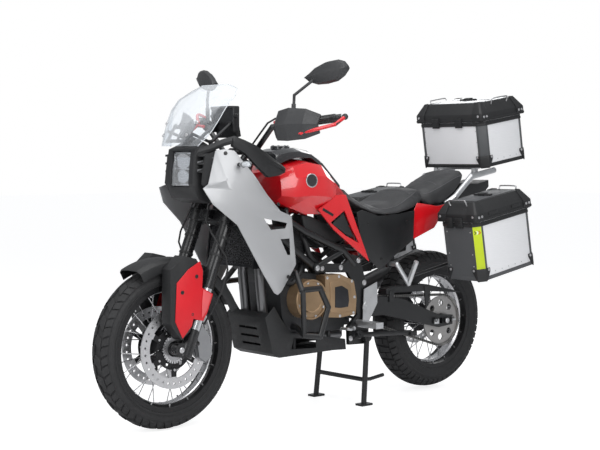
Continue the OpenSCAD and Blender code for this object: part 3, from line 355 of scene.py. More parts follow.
for part, finish in CAD_FINISH.items():
    dress(part, finish)

# ------------------------------------------------------------------ making pieces
def keep(name, mesh, finish, body, sharp=32):
    """A finished piece: outward faces, smooth shading up to a sharp angle, riding on its body."""
    bm = bmesh.new()
    bm.from_mesh(mesh)
    bmesh.ops.remove_doubles(bm, verts=bm.verts, dist=1e-6)
    bmesh.ops.recalc_face_normals(bm, faces=bm.faces)
    bm.to_mesh(mesh)
    bm.free()
    mesh.shade_smooth()
    mesh.set_sharp_from_angle(angle=math.radians(sharp))
    mesh.materials.clear()
    mesh.materials.append(finish.material)
    piece = bpy.data.objects.new(name, mesh)
    bpy.context.scene.collection.objects.link(piece)
    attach(piece, body)
    return piece


def settled(piece):
    """Applies a piece's modifiers, as a new plain mesh."""
    plain = bpy.data.meshes.new_from_object(piece.evaluated_get(bpy.context.evaluated_depsgraph_get()))
    return plain


def from_parts(name, parts):
    """One mesh from a list of (points in mm, faces)."""
    points, faces = [], []
    for p, f in parts:
        base = len(points)
        points += [at(*q) for q in p]
        faces += [[base + i for i in face] for face in f]
    mesh = bpy.data.meshes.new(name)
    mesh.from_pydata(points, [], faces)
    mesh.validate()
    return mesh


def softened(mesh, width, segments=2, angle=28):
    """Rounds a mesh's sharp edges by width mm."""
    bm = bmesh.new()
    bm.from_mesh(mesh)
    bmesh.ops.remove_doubles(bm, verts=bm.verts, dist=1e-6)
    bmesh.ops.recalc_face_normals(bm, faces=bm.faces)
    bm.to_mesh(mesh)
    bm.free()
    piece = bpy.data.objects.new("softening", mesh)
    bpy.context.scene.collection.objects.link(piece)
    bevel = piece.modifiers.new("edges", "BEVEL")
    bevel.width, bevel.segments, bevel.limit_method, bevel.angle_limit = width / 1000, segments, "ANGLE", math.radians(angle)
    bpy.context.view_layer.update()
    plain = settled(piece)
    bpy.data.objects.remove(piece)
    return plain


def trim(name, parts, finish, body, soft=0.0, segments=2, sharp=32):
    """A small fitted piece, with its edges rounded by soft mm."""
    mesh = from_parts(name, parts)
    return keep(name, softened(mesh, soft, segments) if soft else mesh, finish, body, sharp)


def both_sides(parts):
    return parts + [([(-x, y, z) for x, y, z in p], [list(reversed(f)) for f in faces]) for p,
        faces in parts]


def plate(outline, x0, x1):
    """A flat outline of (y, z) points between two x planes."""
    n = len(outline)
    pts = [(x0, y, z) for y, z in outline] + [(x1, y, z) for y, z in outline]
    return pts, [list(range(n)), list(range(2 * n - 1, n - 1, -1))] + [[i, i + n, (i + 1) % n + n,
        (i + 1) % n] for i in range(n)]


def block(x0, x1, y0, y1, z0, z1):
    return plate([(y0, z0), (y1, z0), (y1, z1), (y0, z1)], x0, x1)


def loft(rings, closed=False):
    """A skin over rings of equal length, with flat ends."""
    n, m = len(rings[0]), len(rings)
    pts = [p for ring in rings for p in ring]
    faces = [[k % m * n + i, k % m * n + (i + 1) % n, (k + 1) % m * n + (i + 1) % n, (k + 1) % m * n + i]
             for k in range(m if closed else m - 1) for i in range(n)]
    return pts, faces if closed else faces + [list(range(n - 1, -1, -1)),
        [(m - 1) * n + i for i in range(n)]]


def frames_along(path):
    """A direction and two crosswise directions at each point of a path."""
    v = [Vector(p) for p in path]
    out, side = [], None
    for i, p in enumerate(v):
        d = (v[min(i + 1, len(v) - 1)] - v[max(i - 1, 0)]).normalized()
        if side is None:
            side = d.orthogonal().normalized()
        side = (side - d * side.dot(d)).normalized()
        out.append((p, d, side, d.cross(side)))
    return out


def tube(path, radius, sides=14):
    """A round bar along a path; radius is one number or one for each point."""
    r = radius if hasattr(radius, "__len__") else [radius] * len(path)
    return loft([[tuple(p + k * (a * math.cos(t) + b * math.sin(t))) for t in (2 * math.pi * j / sides for j in range(sides))]
                 for (p, d, a, b), k in zip(frames_along(path), r)])


def smooth_path(points, steps=6):
    """A flowing line through points."""
    v = [Vector(p) for p in points]
    v = [v[0] * 2 - v[1]] + v + [v[-1] * 2 - v[-2]]
    out = []
    for i in range(1, len(v) - 2):
        for s in range(steps):
            t = s / steps
            out.append(tuple(0.5 * (2 * v[i] + (v[i + 1] - v[i - 1]) * t + (2 * v[i - 1] - 5 * v[i] + 4 * v[i + 1] - v[i + 2]) * t * t
                                    + (3 * v[i] - v[i - 1] - 3 * v[i + 1] + v[i + 2]) * t ** 3)))
    return out + [tuple(v[-2])]


def turned(profile, centre, direction, sides=48, full=True):
    """A turned part: (radius, distance along) points spun about a line."""
    d = Vector(direction).normalized()
    a = d.orthogonal().normalized()
    b = d.cross(a)
    c = Vector(centre)
    rings = [[tuple(c + d * h + r * (a * math.cos(t) + b * math.sin(t))) for r, h in profile]
             for t in (2 * math.pi * j / sides for j in range(sides))]
    n, m = len(profile), sides
    pts = [p for ring in rings for p in ring]
    faces = [[k * n + i, k * n + (i + 1) % n, (k + 1) % m * n + (i + 1) % n, (k + 1) % m * n + i]
             for k in range(m) for i in range(n if full else n - 1)]
    return pts, faces


# ------------------------------------------------------------------ repeats
def new_tree(name, sockets):
    tree = bpy.data.node_groups.new(name, "GeometryNodeTree")
    for label, kind, value in sockets:
        socket = tree.interface.new_socket(name=label, in_out="INPUT", socket_type=kind)
        if value is not None:
            socket.default_value = value
    tree.interface.new_socket(name="Geometry", in_out="OUTPUT", socket_type="NodeSocketGeometry")
    return tree, tree.nodes.new("NodeGroupInput"), tree.nodes.new("NodeGroupOutput")


def finish_tree(tree, inp, out, geometry):
    """Every tree ends in real geometry with its material."""
    real, colour = tree.nodes.new("GeometryNodeRealizeInstances"), tree.nodes.new("GeometryNodeSetMaterial")
    tree.links.new(geometry, real.inputs[0])
    tree.links.new(real.outputs[0], colour.inputs["Geometry"])
    tree.links.new(inp.outputs["Finish"], colour.inputs["Material"])
    tree.links.new(colour.outputs[0], out.inputs[0])
    return tree


def ring_tree():
    """Copies of a segment, evenly round an axle."""
    tree, inp, out = new_tree("copies_round_axle", [("Segment", "NodeSocketGeometry", None), ("Count",
        "NodeSocketInt", 12),
                                                    ("Axle", "NodeSocketVector", (0, 0, 0)),
                                                        ("Finish", "NodeSocketMaterial", None)])
    n, link = tree.nodes.new, tree.links.new
    away = n("ShaderNodeVectorMath")
    away.operation = "SCALE"
    away.inputs["Scale"].default_value = -1
    link(inp.outputs["Axle"], away.inputs[0])
    centred, back = n("GeometryNodeTransform"), n("GeometryNodeTransform")
    link(inp.outputs["Segment"], centred.inputs[0])
    link(away.outputs[0], centred.inputs["Translation"])
    points, place, index, step, turn, angle = (n("GeometryNodePoints"), n("GeometryNodeInstanceOnPoints"),
        n("GeometryNodeInputIndex"),
                                               n("ShaderNodeMath"), n("ShaderNodeMath"),
                                                   n("ShaderNodeCombineXYZ"))
    link(inp.outputs["Count"], points.inputs["Count"])
    step.operation, turn.operation = "DIVIDE", "MULTIPLY"
    step.inputs[0].default_value = 2 * math.pi
    link(inp.outputs["Count"], step.inputs[1])
    link(index.outputs[0], turn.inputs[0])
    link(step.outputs[0], turn.inputs[1])
    link(turn.outputs[0], angle.inputs[0])
    link(points.outputs[0], place.inputs["Points"])
    link(centred.outputs[0], place.inputs["Instance"])
    link(angle.outputs[0], place.inputs["Rotation"])
    link(place.outputs[0], back.inputs[0])
    link(inp.outputs["Axle"], back.inputs["Translation"])
    return finish_tree(tree, inp, out, back.outputs[0])


def points_tree():
    """Copies of a small shape at points, its z along facing and its x along the run."""
    tree, inp, out = new_tree("copies_at_points", [("Places", "NodeSocketGeometry", None), ("Shape",
        "NodeSocketObject", None),
                                                   ("Size", "NodeSocketFloat", 1.0),
                                                       ("Finish", "NodeSocketMaterial", None)])
    n, link = tree.nodes.new, tree.links.new
    shape, place, up, run = (n("GeometryNodeObjectInfo"), n("GeometryNodeInstanceOnPoints"),
        n("FunctionNodeAlignRotationToVector"),
                             n("FunctionNodeAlignRotationToVector"))
    facing, along = n("GeometryNodeInputNamedAttribute"), n("GeometryNodeInputNamedAttribute")
    for node, label in ((facing, "facing"), (along, "along")):
        node.data_type = "FLOAT_VECTOR"
        node.inputs["Name"].default_value = label
    up.axis, run.axis, run.pivot_axis = "Z", "X", "Z"
    link(inp.outputs["Shape"], shape.inputs["Object"])
    link(facing.outputs[0], up.inputs["Vector"])
    link(up.outputs[0], run.inputs["Rotation"])
    link(along.outputs[0], run.inputs["Vector"])
    link(inp.outputs["Places"], place.inputs["Points"])
    link(shape.outputs["Geometry"], place.inputs["Instance"])
    link(run.outputs[0], place.inputs["Rotation"])
    link(inp.outputs["Size"], place.inputs["Scale"])
    return finish_tree(tree, inp, out, place.outputs[0])


ROUND_AXLE, AT_POINTS = ring_tree(), points_tree()


def grow(name, mesh, tree, values, finish, body, sharp=32):
    """Runs a tree over a mesh and keeps the plain result."""
    seed = bpy.data.objects.new(name + ".seed", mesh)
    bpy.context.scene.collection.objects.link(seed)
    run = seed.modifiers.new("repeat", "NODES")
    run.node_group = tree
    for item in tree.interface.items_tree:
        if item.in_out == "INPUT" and item.name in values:
            run[item.identifier] = values[item.name]
        elif item.in_out == "INPUT" and item.name == "Finish":
            run[item.identifier] = finish.material
    bpy.context.view_layer.update()
    plain = settled(seed)
    bpy.data.objects.remove(seed)
    return keep(name, plain, finish, body, sharp)


def round_axle(name, parts, count, axle, finish, body, sharp=32):
    return grow(name, from_parts(name, parts), ROUND_AXLE, {"Count": count, "Axle": at(0, *axle)}, finish,
        body, sharp)


def shape_of(name, parts):
    """A small hidden shape in mm about its own origin, for copying."""
    points, faces = [], []
    for p, f in parts:
        base = len(points)
        points += [Vector(q) / 1000 for q in p]
        faces += [[base + i for i in face] for face in f]
    mesh = bpy.data.meshes.new(name)
    mesh.from_pydata(points, [], faces)
    return bpy.data.objects.new(name, mesh)


def at_points(name, places, shape, finish, body, size=1.0, sharp=32):
    """Copies of shape at (point in mm, facing, along) places."""
    mesh = bpy.data.meshes.new(name)
    mesh.from_pydata([at(*p[0]) for p in places], [], [])
    for label, k in (("facing", 1), ("along", 2)):
        data = mesh.attributes.new(label, "FLOAT_VECTOR", "POINT").data
        data.foreach_set("vector", [c for p in places for c in p[k]])
    return grow(name, mesh, AT_POINTS, {"Shape": shape, "Size": size}, finish, body, sharp)


def bolt_head(radius=6.0, height=3.5, sides=6):
    """A flanged head with a socket, standing on z 0."""
    return [turned([(0, 0), (radius * 1.35, 0), (radius * 1.35, height * 0.25), (radius, height * 0.34),
        (radius, height * 0.9),
                    (radius * 0.88, height), (radius * 0.52, height), (radius * 0.48, height * 0.45),
                        (0, height * 0.45)], (0, 0, 0),
                   (0, 0, 1), 12, False)]


def rivet(radius=3.0):
    return [turned([(radius * 1.0, 0), (radius * 0.9, radius * 0.35), (radius * 0.55, radius * 0.6),
        (0, radius * 0.68)], (0, 0, 0), (0, 0, 1), 10, False)]


BOLT, SMALL_BOLT, RIVET = shape_of("bolt_head", bolt_head()), shape_of("small_bolt_head",
    bolt_head(4.2, 2.8)), shape_of("rivet_head", rivet())


def refined(node, finish, edge=1.5, segments=2, sharp=34, flat=1.0):
    """A CAD node's own shape with its edges rounded; it stands for that node."""
    bm = bmesh.new()
    bm.from_mesh(NODES[node].data)
    bmesh.ops.remove_doubles(bm, verts=bm.verts, dist=2e-5)
    bmesh.ops.dissolve_limit(bm, angle_limit=math.radians(flat), verts=bm.verts, edges=bm.edges)
    bmesh.ops.recalc_face_normals(bm, faces=bm.faces)
    mesh = bpy.data.meshes.new(node + "_body")
    bm.to_mesh(mesh)
    bm.free()
    mesh.materials.clear()
    if edge:
        mesh = softened(mesh, edge, segments, 20)
    piece = keep(node + "_body", mesh, finish, BODY[node], sharp)
    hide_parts(node)
    return piece

# ------------------------------------------------------------------ bodywork with rounded edges
refined("fuel_tank", red_paint, 7, 3, 50, 1.0)
refined("tank_cover", cover_gloss, 6, 3, 50)
refined("side_fairings", silver_paint, 2.2, 2, 30)
refined("headlight_cowl", black_plastic, 3, 2, 34)
refined("fork_guards", red_plastic, 1.2, 2)
refined("front_fender", black_plastic, 1.2, 2, 30)
refined("hand_guards", grey_plastic, 4, 3, 40)
refined("mirrors", grey_plastic, 2.5, 2, 50)
refined("side_panels", smooth_plastic, 1.5, 2)
refined("tail_panels", red_paint, 2, 2)
refined("tail_fender", black_plastic, 2, 2)
refined("bash_plate", black_plastic, 2, 2)
refined("engine", engine_grey, 4, 2)
refined("luggage_rack", silver_metal, 2, 2, 40)

# ------------------------------------------------------------------ tyres
def tyre_line(radius, width, depth):
    """The tyre's outer section: angle across the crown to (x, distance from the axle)."""
    def line(angle, drop=0.0):
        a = math.radians(angle)
        return width / 2 * math.sin(a) * (1 - drop / radius), radius - depth * 0.52 * (1 - math.cos(a)) - drop
    return line


def tread_block(line, pitch, across, start, end, low, axle, steps=4):
    """One block over a span of crown angles; start and end give its edges along the tyre, as shares of a pitch."""
    rings = []
    for i in range(steps + 1):
        t = i / steps
        angle = across[0] + (across[1] - across[0]) * t
        s0, s1 = start[0] + (start[1] - start[0]) * t, end[0] + (end[1] - end[0]) * t
        ring = []
        for s, drop in ((s0 - 0.03, low), (s0, 0.0), ((s0 + s1) / 2, 0.0), (s1, 0.0), (s1 + 0.03, low)):
            x, r = line(angle, drop)
            turn = math.radians(pitch) * s
            ring.append((x, axle[0] - r * math.sin(turn), axle[1] + r * math.cos(turn)))
        rings.append(ring)
    return loft(rings)


def tyre(name, node, radius, width, rim, axle, body, count, blocks, groove):
    line = tyre_line(radius, width, radius - rim + 22)
    bead = width * 0.36
    outer = [(*reversed(line(a, groove if abs(a) < 66 else max(0.0, groove * (84 - abs(a)) / 18))),
        ) for a in range(-84, 85, 6)]
    profile = [(rim + 1, -bead), (rim + 1, -bead - 8)] + outer + [(rim + 1, bead + 8), (rim + 1, bead),
        (rim - 10, bead), (rim - 10, -bead)]
    carcass = keep(name, from_parts(name, [turned(profile, (0, *axle), (1, 0, 0), 96)]), tyre_rubber,
        body, 40)
    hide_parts(node)
    pitch = 360 / count
    round_axle(name + "_tread", [tread_block(line, pitch, *b, groove + 0.6, axle) for b in blocks], count,
        axle, tyre_rubber, body, 30)
    for side in (-1, 1):
        ribs = [turned([(radius - 62 + k, side * (width * 0.475)),
            (radius - 61 + k, side * (width * 0.482)), (radius - 60 + k, side * width * 0.475)],
                       (0, *axle), (1, 0, 0), 72, False) for k in (0, 7)]
        trim(name + ("_line_left" if side > 0 else "_line_right"), ribs, tyre_rubber, body, 0, 2,
            60)


FRONT_BLOCKS = [((-62, -34), (0.02, 0.18), (0.42, 0.62)), ((-62, -34), (0.54, 0.74), (0.94, 1.06)),
    ((-30, -4), (0.20, 0.0), (0.78, 0.50)),
                ((4, 30), (0.5, 0.70), (1.0, 1.28)), ((34, 62), (0.18, 0.02), (0.62, 0.42)),
                    ((34, 62), (0.74, 0.54), (1.06, 0.94))]
REAR_BLOCKS = [((-64, -36), (0.04, 0.12), (0.42, 0.50)), ((-64, -36), (0.54, 0.62), (0.92, 1.0)),
    ((-32, 10), (0.10, 0.0), (0.46, 0.36)),
               ((14, 32), (0.02, 0.06), (0.38, 0.42)), ((-32, -14), (0.60, 0.56), (0.96, 0.92)),
                   ((-10, 32), (0.54, 0.64), (0.90, 1.0)),
               ((36, 64), (0.30, 0.22), (0.68, 0.60)), ((36, 64), (0.80, 0.72), (1.18, 1.10))]
tyre("front_tyre_rubber", "front_tyre", 329, 112, 258, FRONT_AXLE, "front_wheel", 26, FRONT_BLOCKS, 6.5)
tyre("rear_tyre_rubber", "rear_tyre", 321, 150, 232, REAR_AXLE, "rear_wheel", 28, REAR_BLOCKS, 7.0)

# ------------------------------------------------------------------ wheels and brakes
for side, wheel, axle, body, seat, half in ((s, w, a, b, r, h) for s in (-1, 1) for w, a, b, r, h in
                                            (("front", FRONT_AXLE, "front_wheel", 246, 34),
                                                ("rear", REAR_AXLE, "rear_wheel", 220, 44))):
    tag = wheel + ("_left" if side > 0 else "_right")
    nut = turned([(3.4, 0), (3.4, 12), (2.2, 15), (0, 15)], (side * half, axle[0], axle[1] + seat - 20),
        (0, 0, 1), 8, False)
    round_axle(tag + "_spoke_nipples", [nut], 16, axle, bolt_steel, body)
    if wheel == "front":
        bob = turned([(0, 0), (5, 0), (5, 3), (3.4, 4.2), (0, 4.2)], (side * 68, 0, 329 + 84),
            (side, 0, 0), 10, False)
        round_axle(tag + "_disc_bobbins", [bob], 6, axle, bolt_steel, body)
        slot_tooth = plate([(-3.2, 329 + 46), (3.2, 329 + 46), (3.8, 329 + 58), (-3.8, 329 + 58)],
            side * 69.5, side * 71)
        round_axle(tag + "_sensor_ring", [slot_tooth], 30, axle, disc_steel, body)
    cap = [turned([(0, 0), (11, 0), (12, 2), (12, 5), (9, 7), (5, 7), (5, 4), (0, 4)],
        (side * 117 if wheel == "front" else side * 132, *axle), (side, 0, 0), 24, False)]
    trim(tag + "_axle_nut", cap, bolt_steel, "steering" if wheel == "front" else "chassis")

# ------------------------------------------------------------------ headlight
def bowl(centre, wide, high, deep):
    """An oval reflector that opens forwards."""
    rings = []
    for r, back in ((1.0, 0), (0.97, 2), (0.9, deep * 0.35), (0.72, deep * 0.7), (0.45, deep * 0.92),
        (0.12, deep)):
        rings.append([(centre[0] + wide * r * math.cos(t), centre[1] + back,
            centre[2] + high * r * math.sin(t) * (1 - 0.12 * math.cos(t)))
                      for t in (2 * math.pi * j / 32 for j in range(32))])
    return loft(rings)


chrome = Finish("reflector_chrome", (0.82, 0.83, 0.85), 0.08, 1.0)
chrome.set(Roughness=chrome.cells(260).ramp(0, 1, 0.05, 0.16))
chrome.bump(chrome.cells(180), 0.25, 0.0008)
lamp_black = moulded_plastic("lamp_inner_black", (0.02, 0.02, 0.022), 0.3, 900, 0.04)
bulb_glass = Finish("projector_lens", (0.72, 0.76, 0.8), 0.05, 0.0, 1.0, 0.02)
bulb_glass.set(Roughness=bulb_glass.noise(30).ramp(0, 1, 0.03, 0.07))
# Reflector halves of the lamp
trim("headlight_reflectors", [bowl((0, 99, 1076), 50, 30, 32), bowl((0, 97, 1014), 40, 27, 30)], chrome,
    "chassis", 0, 2, 60)
trim("headlight_projectors", [turned([(0, -6), (9, -4), (16, 0), (19, 6), (19, 14), (0, 14)], (0, 112, z),
    (0, 1, 0), 28, False)
                                                       for z in (1076, 1014)], bulb_glass, "chassis",
                                                           0, 2, 60)
trim("headlight_divider", [block(-60, 60, 98, 112, 1042, 1048), block(-61, -55, 96, 118, 980, 1108),
    block(55, 61, 96, 118, 980, 1108),
                                                          block(-60, 60, 104, 116, 1106, 1110),
                                                              block(-60, 60, 100, 112, 979, 985)], chrome,
                                                                  "chassis", 1)
trim("headlight_back", [plate([(134, 1103), (134, 990), (140, 1000), (140, 1103)], -60, 60)], lamp_black,
    "chassis")

# Slanted grey slats beside the lamp
slats = []
for z in (1030, 1062):
    slats.append(loft([[(94, 100, z + 2), (96, 96, z + 12), (98, 102, z + 13), (97, 105, z + 3)],
        [(130, 158, z + 22), (133, 154, z + 31), (134, 160, z + 32), (132, 163, z + 24)]]))
slat_grey = moulded_plastic("slat_grey", (0.16, 0.165, 0.17), 0.4, 420, 0.6)
trim("cheek_slats", both_sides(slats), slat_grey, "chassis", 1)

# Broad panel that carries the arch down to the tank
arch = [[(128, 236, 1136), (150, 238, 1132), (154, 236, 1158), (146, 236, 1174)],
    [(136, 290, 1112), (158, 292, 1106), (162, 290, 1140), (152, 288, 1166)],
        [(140, 350, 1058), (164, 352, 1052), (168, 352, 1108), (158, 350, 1142)],
            [(140, 410, 1010), (164, 412, 1008), (170, 412, 1066), (160, 410, 1106)],
        [(136, 470, 1014), (160, 472, 1016), (168, 472, 1040), (158, 470, 1066)],
            [(140, 512, 1028), (152, 512, 1028), (154, 512, 1034), (146, 512, 1038)]]
trim("arch_panels", both_sides([loft(arch)]), black_plastic, "chassis", 5, 3, 45)

# Screen edge with a painted highlight along it, holed bracket behind it and its screws
screen_rows = [(1136, 92, 18, 100), (1180, 128, 44, 128), (1230, 156, 78, 150), (1286, 176, 128, 176),
    (1330, 182, 172, 214), (1368, 140, 212, 262), (1386, 88, 236, 262)]


def screen_point(row, u, off=0.0):
    z, half, mid, edge = row
    return (half * math.sin(math.radians(88.2 * u)), mid + (edge - mid) * abs(u) ** 2.2 + off, z)


edge_line = [screen_point(r, 1, 1.6) for r in screen_rows] + [screen_point(screen_rows[-1], u / 4,
    1.6) for u in range(3, -5, -1)]
edge_line += [screen_point(r, -1, 1.6) for r in reversed(screen_rows[:-1])]
# The screen's rim is a mostly opaque near-white band: a painted highlight standing in for the light its polished
# edge catches.
edge_highlight_glass = glass("screen_edge_painted_highlight", (0.86, 0.89, 0.92), 0.25, 0.1, False)
trim("screen_edge", [tube(smooth_path(edge_line, 3), 1.7, 8)], edge_highlight_glass, "chassis", 0,
    2, 60)
bracket = []
for x0, x1, z0, z1 in ((-74, -58, 1150, 1226), (58, 74, 1150, 1226), (-58, 58, 1150, 1164),
    (-58, 58, 1206, 1222), (-8, 8, 1164, 1206), (-40, -26, 1222, 1244), (26, 40, 1222, 1244)):
    y0, y1 = 60 + (z0 - 1150) * 0.62, 60 + (z1 - 1150) * 0.62
    bracket.append(loft([[(x0, y0, z0), (x1, y0, z0), (x1, y0 + 5, z0), (x0, y0 + 5, z0)],
        [(x0, y1, z1), (x1, y1, z1), (x1, y1 + 5, z1), (x0, y1 + 5, z1)]]))
trim("screen_bracket", bracket, black_plastic, "chassis", 1.2)
screws = [(screen_point(screen_rows[1], u, -0.5), (0.25 * (1 if u > 0 else -1), -0.8, 0.5),
    (1, 0, 0)) for u in (-0.42, 0.42)]
screws += [(screen_point(screen_rows[2], u, -1.0), (0.3 * (1 if u > 0 else -1), -0.8, 0.5),
    (1, 0, 0)) for u in (-0.46, 0.46)]
at_points("screen_screws", screws, BOLT, bolt_steel, "chassis")

# ------------------------------------------------------------------ instruments and bars
face = Finish("display_glass", (0.008, 0.009, 0.011), 0.08, 0.0, 1.0, 0.03)
face.set(Roughness=face.noise(9).ramp(0.2, 0.8, 0.06, 0.12))
trim("display_face", [loft([[(-58, 320.5, 1286), (58, 320.5, 1286), (58, 322.5, 1286), (-58, 322.5, 1286)],
                                                          [(-58, 344, 1188), (58, 344, 1188),
                                                              (58, 346, 1188), (-58, 346, 1188)]])], face,
                                                                  "chassis", 0.8)
trim("display_hood", [block(-72, 72, 290, 330, 1290, 1302), block(-74, -64, 296, 330, 1196, 1300),
    block(64, 74, 296, 330, 1196, 1300)], smooth_plastic, "chassis", 3)
trim("display_knobs", both_sides([turned([(0, 0), (9, 0), (9, 8), (7, 10), (0, 10)], (74, 306, 1262),
    (1, 0, 0), 20, False)]), smooth_plastic, "chassis")

GRIP = Vector((222, 157, 35)).normalized()


def on_grip(d):
    return Vector((214, 388, 1215)) + GRIP * d


hoop = [tuple(on_grip(30) + Vector((0, -18.6, 2))), (258, 366, 1232), (300, 346, 1196), (390, 386, 1186),
    (474, 496, 1222), tuple(on_grip(303.5))]
hoops = [tube(hoop, 7.8, 16)]
hoops.append(tube(smooth_path([(270, 380, 1230), (280, 378, 1262), (290, 394, 1276), (292, 434, 1262)],
    5), 6.5, 12))
guard_red = gloss_paint("guard_hoop_red", (0.62, 0.006, 0.014), 0.0, 0.3, 0.6)
trim("guard_hoops", both_sides(hoops), guard_red, "steering", 0, 2, 50)
grip_ribs = []
for k in range(26):
    grip_ribs.append(turned([(17.1, 0), (18.2, 0.6), (18.2, 2.2), (17.1, 2.8)],
        tuple(on_grip(142 + k * 4.7)), tuple(GRIP), 20, False))
trim("grip_ribs", both_sides(grip_ribs), hose_rubber, "steering", 0, 2, 40)
silver_mirror = Finish("mirror_glass", (0.75, 0.77, 0.8), 0.03, 1.0)
silver_mirror.set(Roughness=silver_mirror.noise(6).ramp(0, 1, 0.02, 0.05))
glass_ring = [(314, 512, 1412), (336, 516, 1438), (366, 522, 1458), (404, 529, 1472), (446, 540, 1474),
    (474, 549, 1464), (480, 553, 1444), (450, 544, 1408), (402, 529, 1396), (352, 518, 1398),
        (322, 513, 1402)]
mirror_face = loft([[(x, y + 2.0, z) for x, y, z in glass_ring],
    [(x, y + 4.5, z) for x, y, z in glass_ring]])
trim("mirror_faces", both_sides([mirror_face]), silver_mirror, "steering")

# ------------------------------------------------------------------ tank trim
badge_dark, badge_ring = gloss_paint("badge_dark", (0.02, 0.02, 0.022), 0.1,
    0.25), brushed_metal("badge_ring_silver", (0.7, 0.7, 0.71), (40, 40, 40), 0.2)
facing = Vector((0.99, -0.13, 0.05)).normalized()
centre = Vector((175, 636, 994))
disc = [turned([(0, 2.2), (25, 2.2), (25.6, 1.6), (25.6, -3), (0, -3)], tuple(centre), tuple(facing), 48,
    False)]
ring = [turned([(25.4, 3.0), (28.6, 3.0), (29.6, 2.0), (29.6, -3), (25.0, -3), (25.0, 2.2)],
    tuple(centre), tuple(facing), 48)]
trim("tank_badges", both_sides(disc), badge_dark, "chassis", 0, 2, 40)
trim("tank_badge_rings", both_sides(ring), badge_ring, "chassis", 0, 2, 40)
trim("tank_band_slots", both_sides([plate([(712, 866), (772, 838), (778, 847), (718, 876)], 156.5, 159)]),
    smooth_plastic, "chassis", 0.8)
trim("tank_band_insets", both_sides([plate([(772, 806), (838, 850), (874, 786), (900, 742), (846, 762)],
    150, 155)]), black_plastic, "chassis", 1.5)
cap = [turned([(0, 12), (38, 12), (41, 9), (42, 0), (0, 0)], (0, 610, 1129), (0, 0, 1), 48, False)]
trim("filler_cap", cap, cover_gloss, "chassis", 0, 2, 30)
at_points("filler_cap_screws", [((34 * math.cos(t), 610 + 34 * math.sin(t), 1141), (0, 0, 1),
    (1, 0, 0)) for t in (k * math.pi / 3.5 for k in range(7))], SMALL_BOLT, bolt_steel, "chassis", 0.8)

# ------------------------------------------------------------------ fairings
side_bolts = []
for s in (-1, 1):
    side_bolts += [((s * 153, 195, 1108), (s * 0.89, -0.45, 0.07), (0, 0, 1)),
        ((s * 217, 470, 600), (s, 0, 0), (0, 0, 1)), ((s * 214, 420, 900), (s * 0.9, 0, 0.3), (0, 0, 1)),
                   ((s * 135, 40, 470), (s, 0, 0), (0, 0, 1)),
                       ((s * 138.5, -10, 560), (s, 0, 0), (0, 0, 1)),
                           ((s * 138.5, 60, 620), (s, 0, 0), (0, 0, 1)),
                   ((s * 142, 1000, 800), (s, 0, 0), (0, 0, 1)),
                       ((s * 142, 1240, 800), (s, 0, 0), (0, 0, 1)),
                           ((s * 142, 1080, 640), (s, 0, 0), (0, 0, 1))]
at_points("body_bolts_left", [b for b in side_bolts if b[0][0] > 0 and b[0][1] > 150], BOLT, bolt_black,
    "chassis")
at_points("body_bolts_right", [b for b in side_bolts if b[0][0] < 0 and b[0][1] > 150], BOLT, bolt_black,
    "chassis")
at_points("guard_bolts", [b for b in side_bolts if b[0][1] < 150], BOLT, bolt_black, "steering")
strip = plate([(84, 452), (108, 480), (134, 544), (92, 566), (86, 520)], 138.2, 140.2)
pink = moulded_plastic("guard_light_red", (0.72, 0.10, 0.11), 0.42, 1800, 0.05)
trim("guard_strips", both_sides([strip]), pink, "steering", 0.8)
stems = both_sides([tube([(170, 250, 1062), (198, 246, 1063), (206, 245, 1063)], [8.5, 9, 13], 14)])
trim("indicator_stems", stems, hose_rubber, "chassis", 0, 2, 50)
amber = Finish("indicator_inner", (0.85, 0.86, 0.86), 0.25, 0.4)
amber.bump(amber.cells(500), 0.5, 0.0008)
trim("indicator_cores", both_sides([tube([(206, 245, 1063), (240, 241, 1065)], [9, 8], 12),
    tube([(132, 1738, 838), (164, 1741, 838)], 7, 12)]), amber, "chassis", 0, 2, 50)

# ------------------------------------------------------------------ radiator
core = Finish("radiator_core", (0.03, 0.03, 0.032), 0.45, 0.6)
mesh_cells = core.cells(95, core.stretched((1, 0.2, 1)), "DISTANCE_TO_EDGE")
core.set(**{"Base Color": core.mix(mesh_cells.above(0.09), (0.09, 0.09, 0.095), (0.006, 0.006, 0.007))})
core.bump(mesh_cells, 0.6, 0.002)
trim("radiator_guard", [plate([(334, 648), (336.5, 648), (355, 798), (352.5, 798)], -146, 146)], core,
    "chassis")
fins = [block(-148, 148, 333 + k * 2.05, 336 + k * 2.05, 650 + k * 16, 652 + k * 16) for k in range(10)]
trim("radiator_bars", fins, dark_metal, "chassis")

# ------------------------------------------------------------------ engine
def fins_on(x0, x1, outline, count, z0, step):
    return [block(x0, x1, outline[0], outline[1], z0 + k * step, z0 + k * step + 4) for k in range(count)]


trim("cylinder_fins", both_sides(fins_on(84, 97, (498, 660), 6, 640, 18)), engine_grey, "chassis",
    1)
cover_ring = both_sides([turned([(80, 0), (84, 0), (86, 3), (84, 7), (78, 7), (76, 3)], (180, 630, 492),
    (1, 0, 0), 64),
                         turned([(50, 7), (54, 7), (55, 11), (49, 12), (47, 9)], (181, 630, 492),
                             (1, 0, 0), 56)])
trim("cover_rims", cover_ring, bronze, "chassis", 0, 2, 40)
inset = both_sides([plate([(740, 560), (800, 566), (858, 540), (872, 478), (866, 428), (800, 422),
    (740, 428)], 174, 179)])
trim("cover_insets", inset, bronze, "chassis", 3, 3)
badge_plate = both_sides([plate([(766, 536), (806, 540), (842, 520), (848, 474), (842, 446), (800, 444),
    (766, 448)], 178, 181.5)])
trim("cover_badges", badge_plate, dark_metal, "chassis", 2, 2)
cover_bolts = []
for s in (-1, 1):
    cover_bolts += [((s * 183, 630 + 76 * math.cos(t), 492 + 76 * math.sin(t)), (s, 0, 0),
        (0, 0, 1)) for t in (k * math.pi / 4 + 0.3 for k in range(8))]
    cover_bolts += [((s * 176, y, z), (s, 0, 0), (0, 0, 1)) for y,
        z in ((724, 578), (792, 580), (868, 556), (884, 486), (878, 418), (798, 410), (724, 418))]
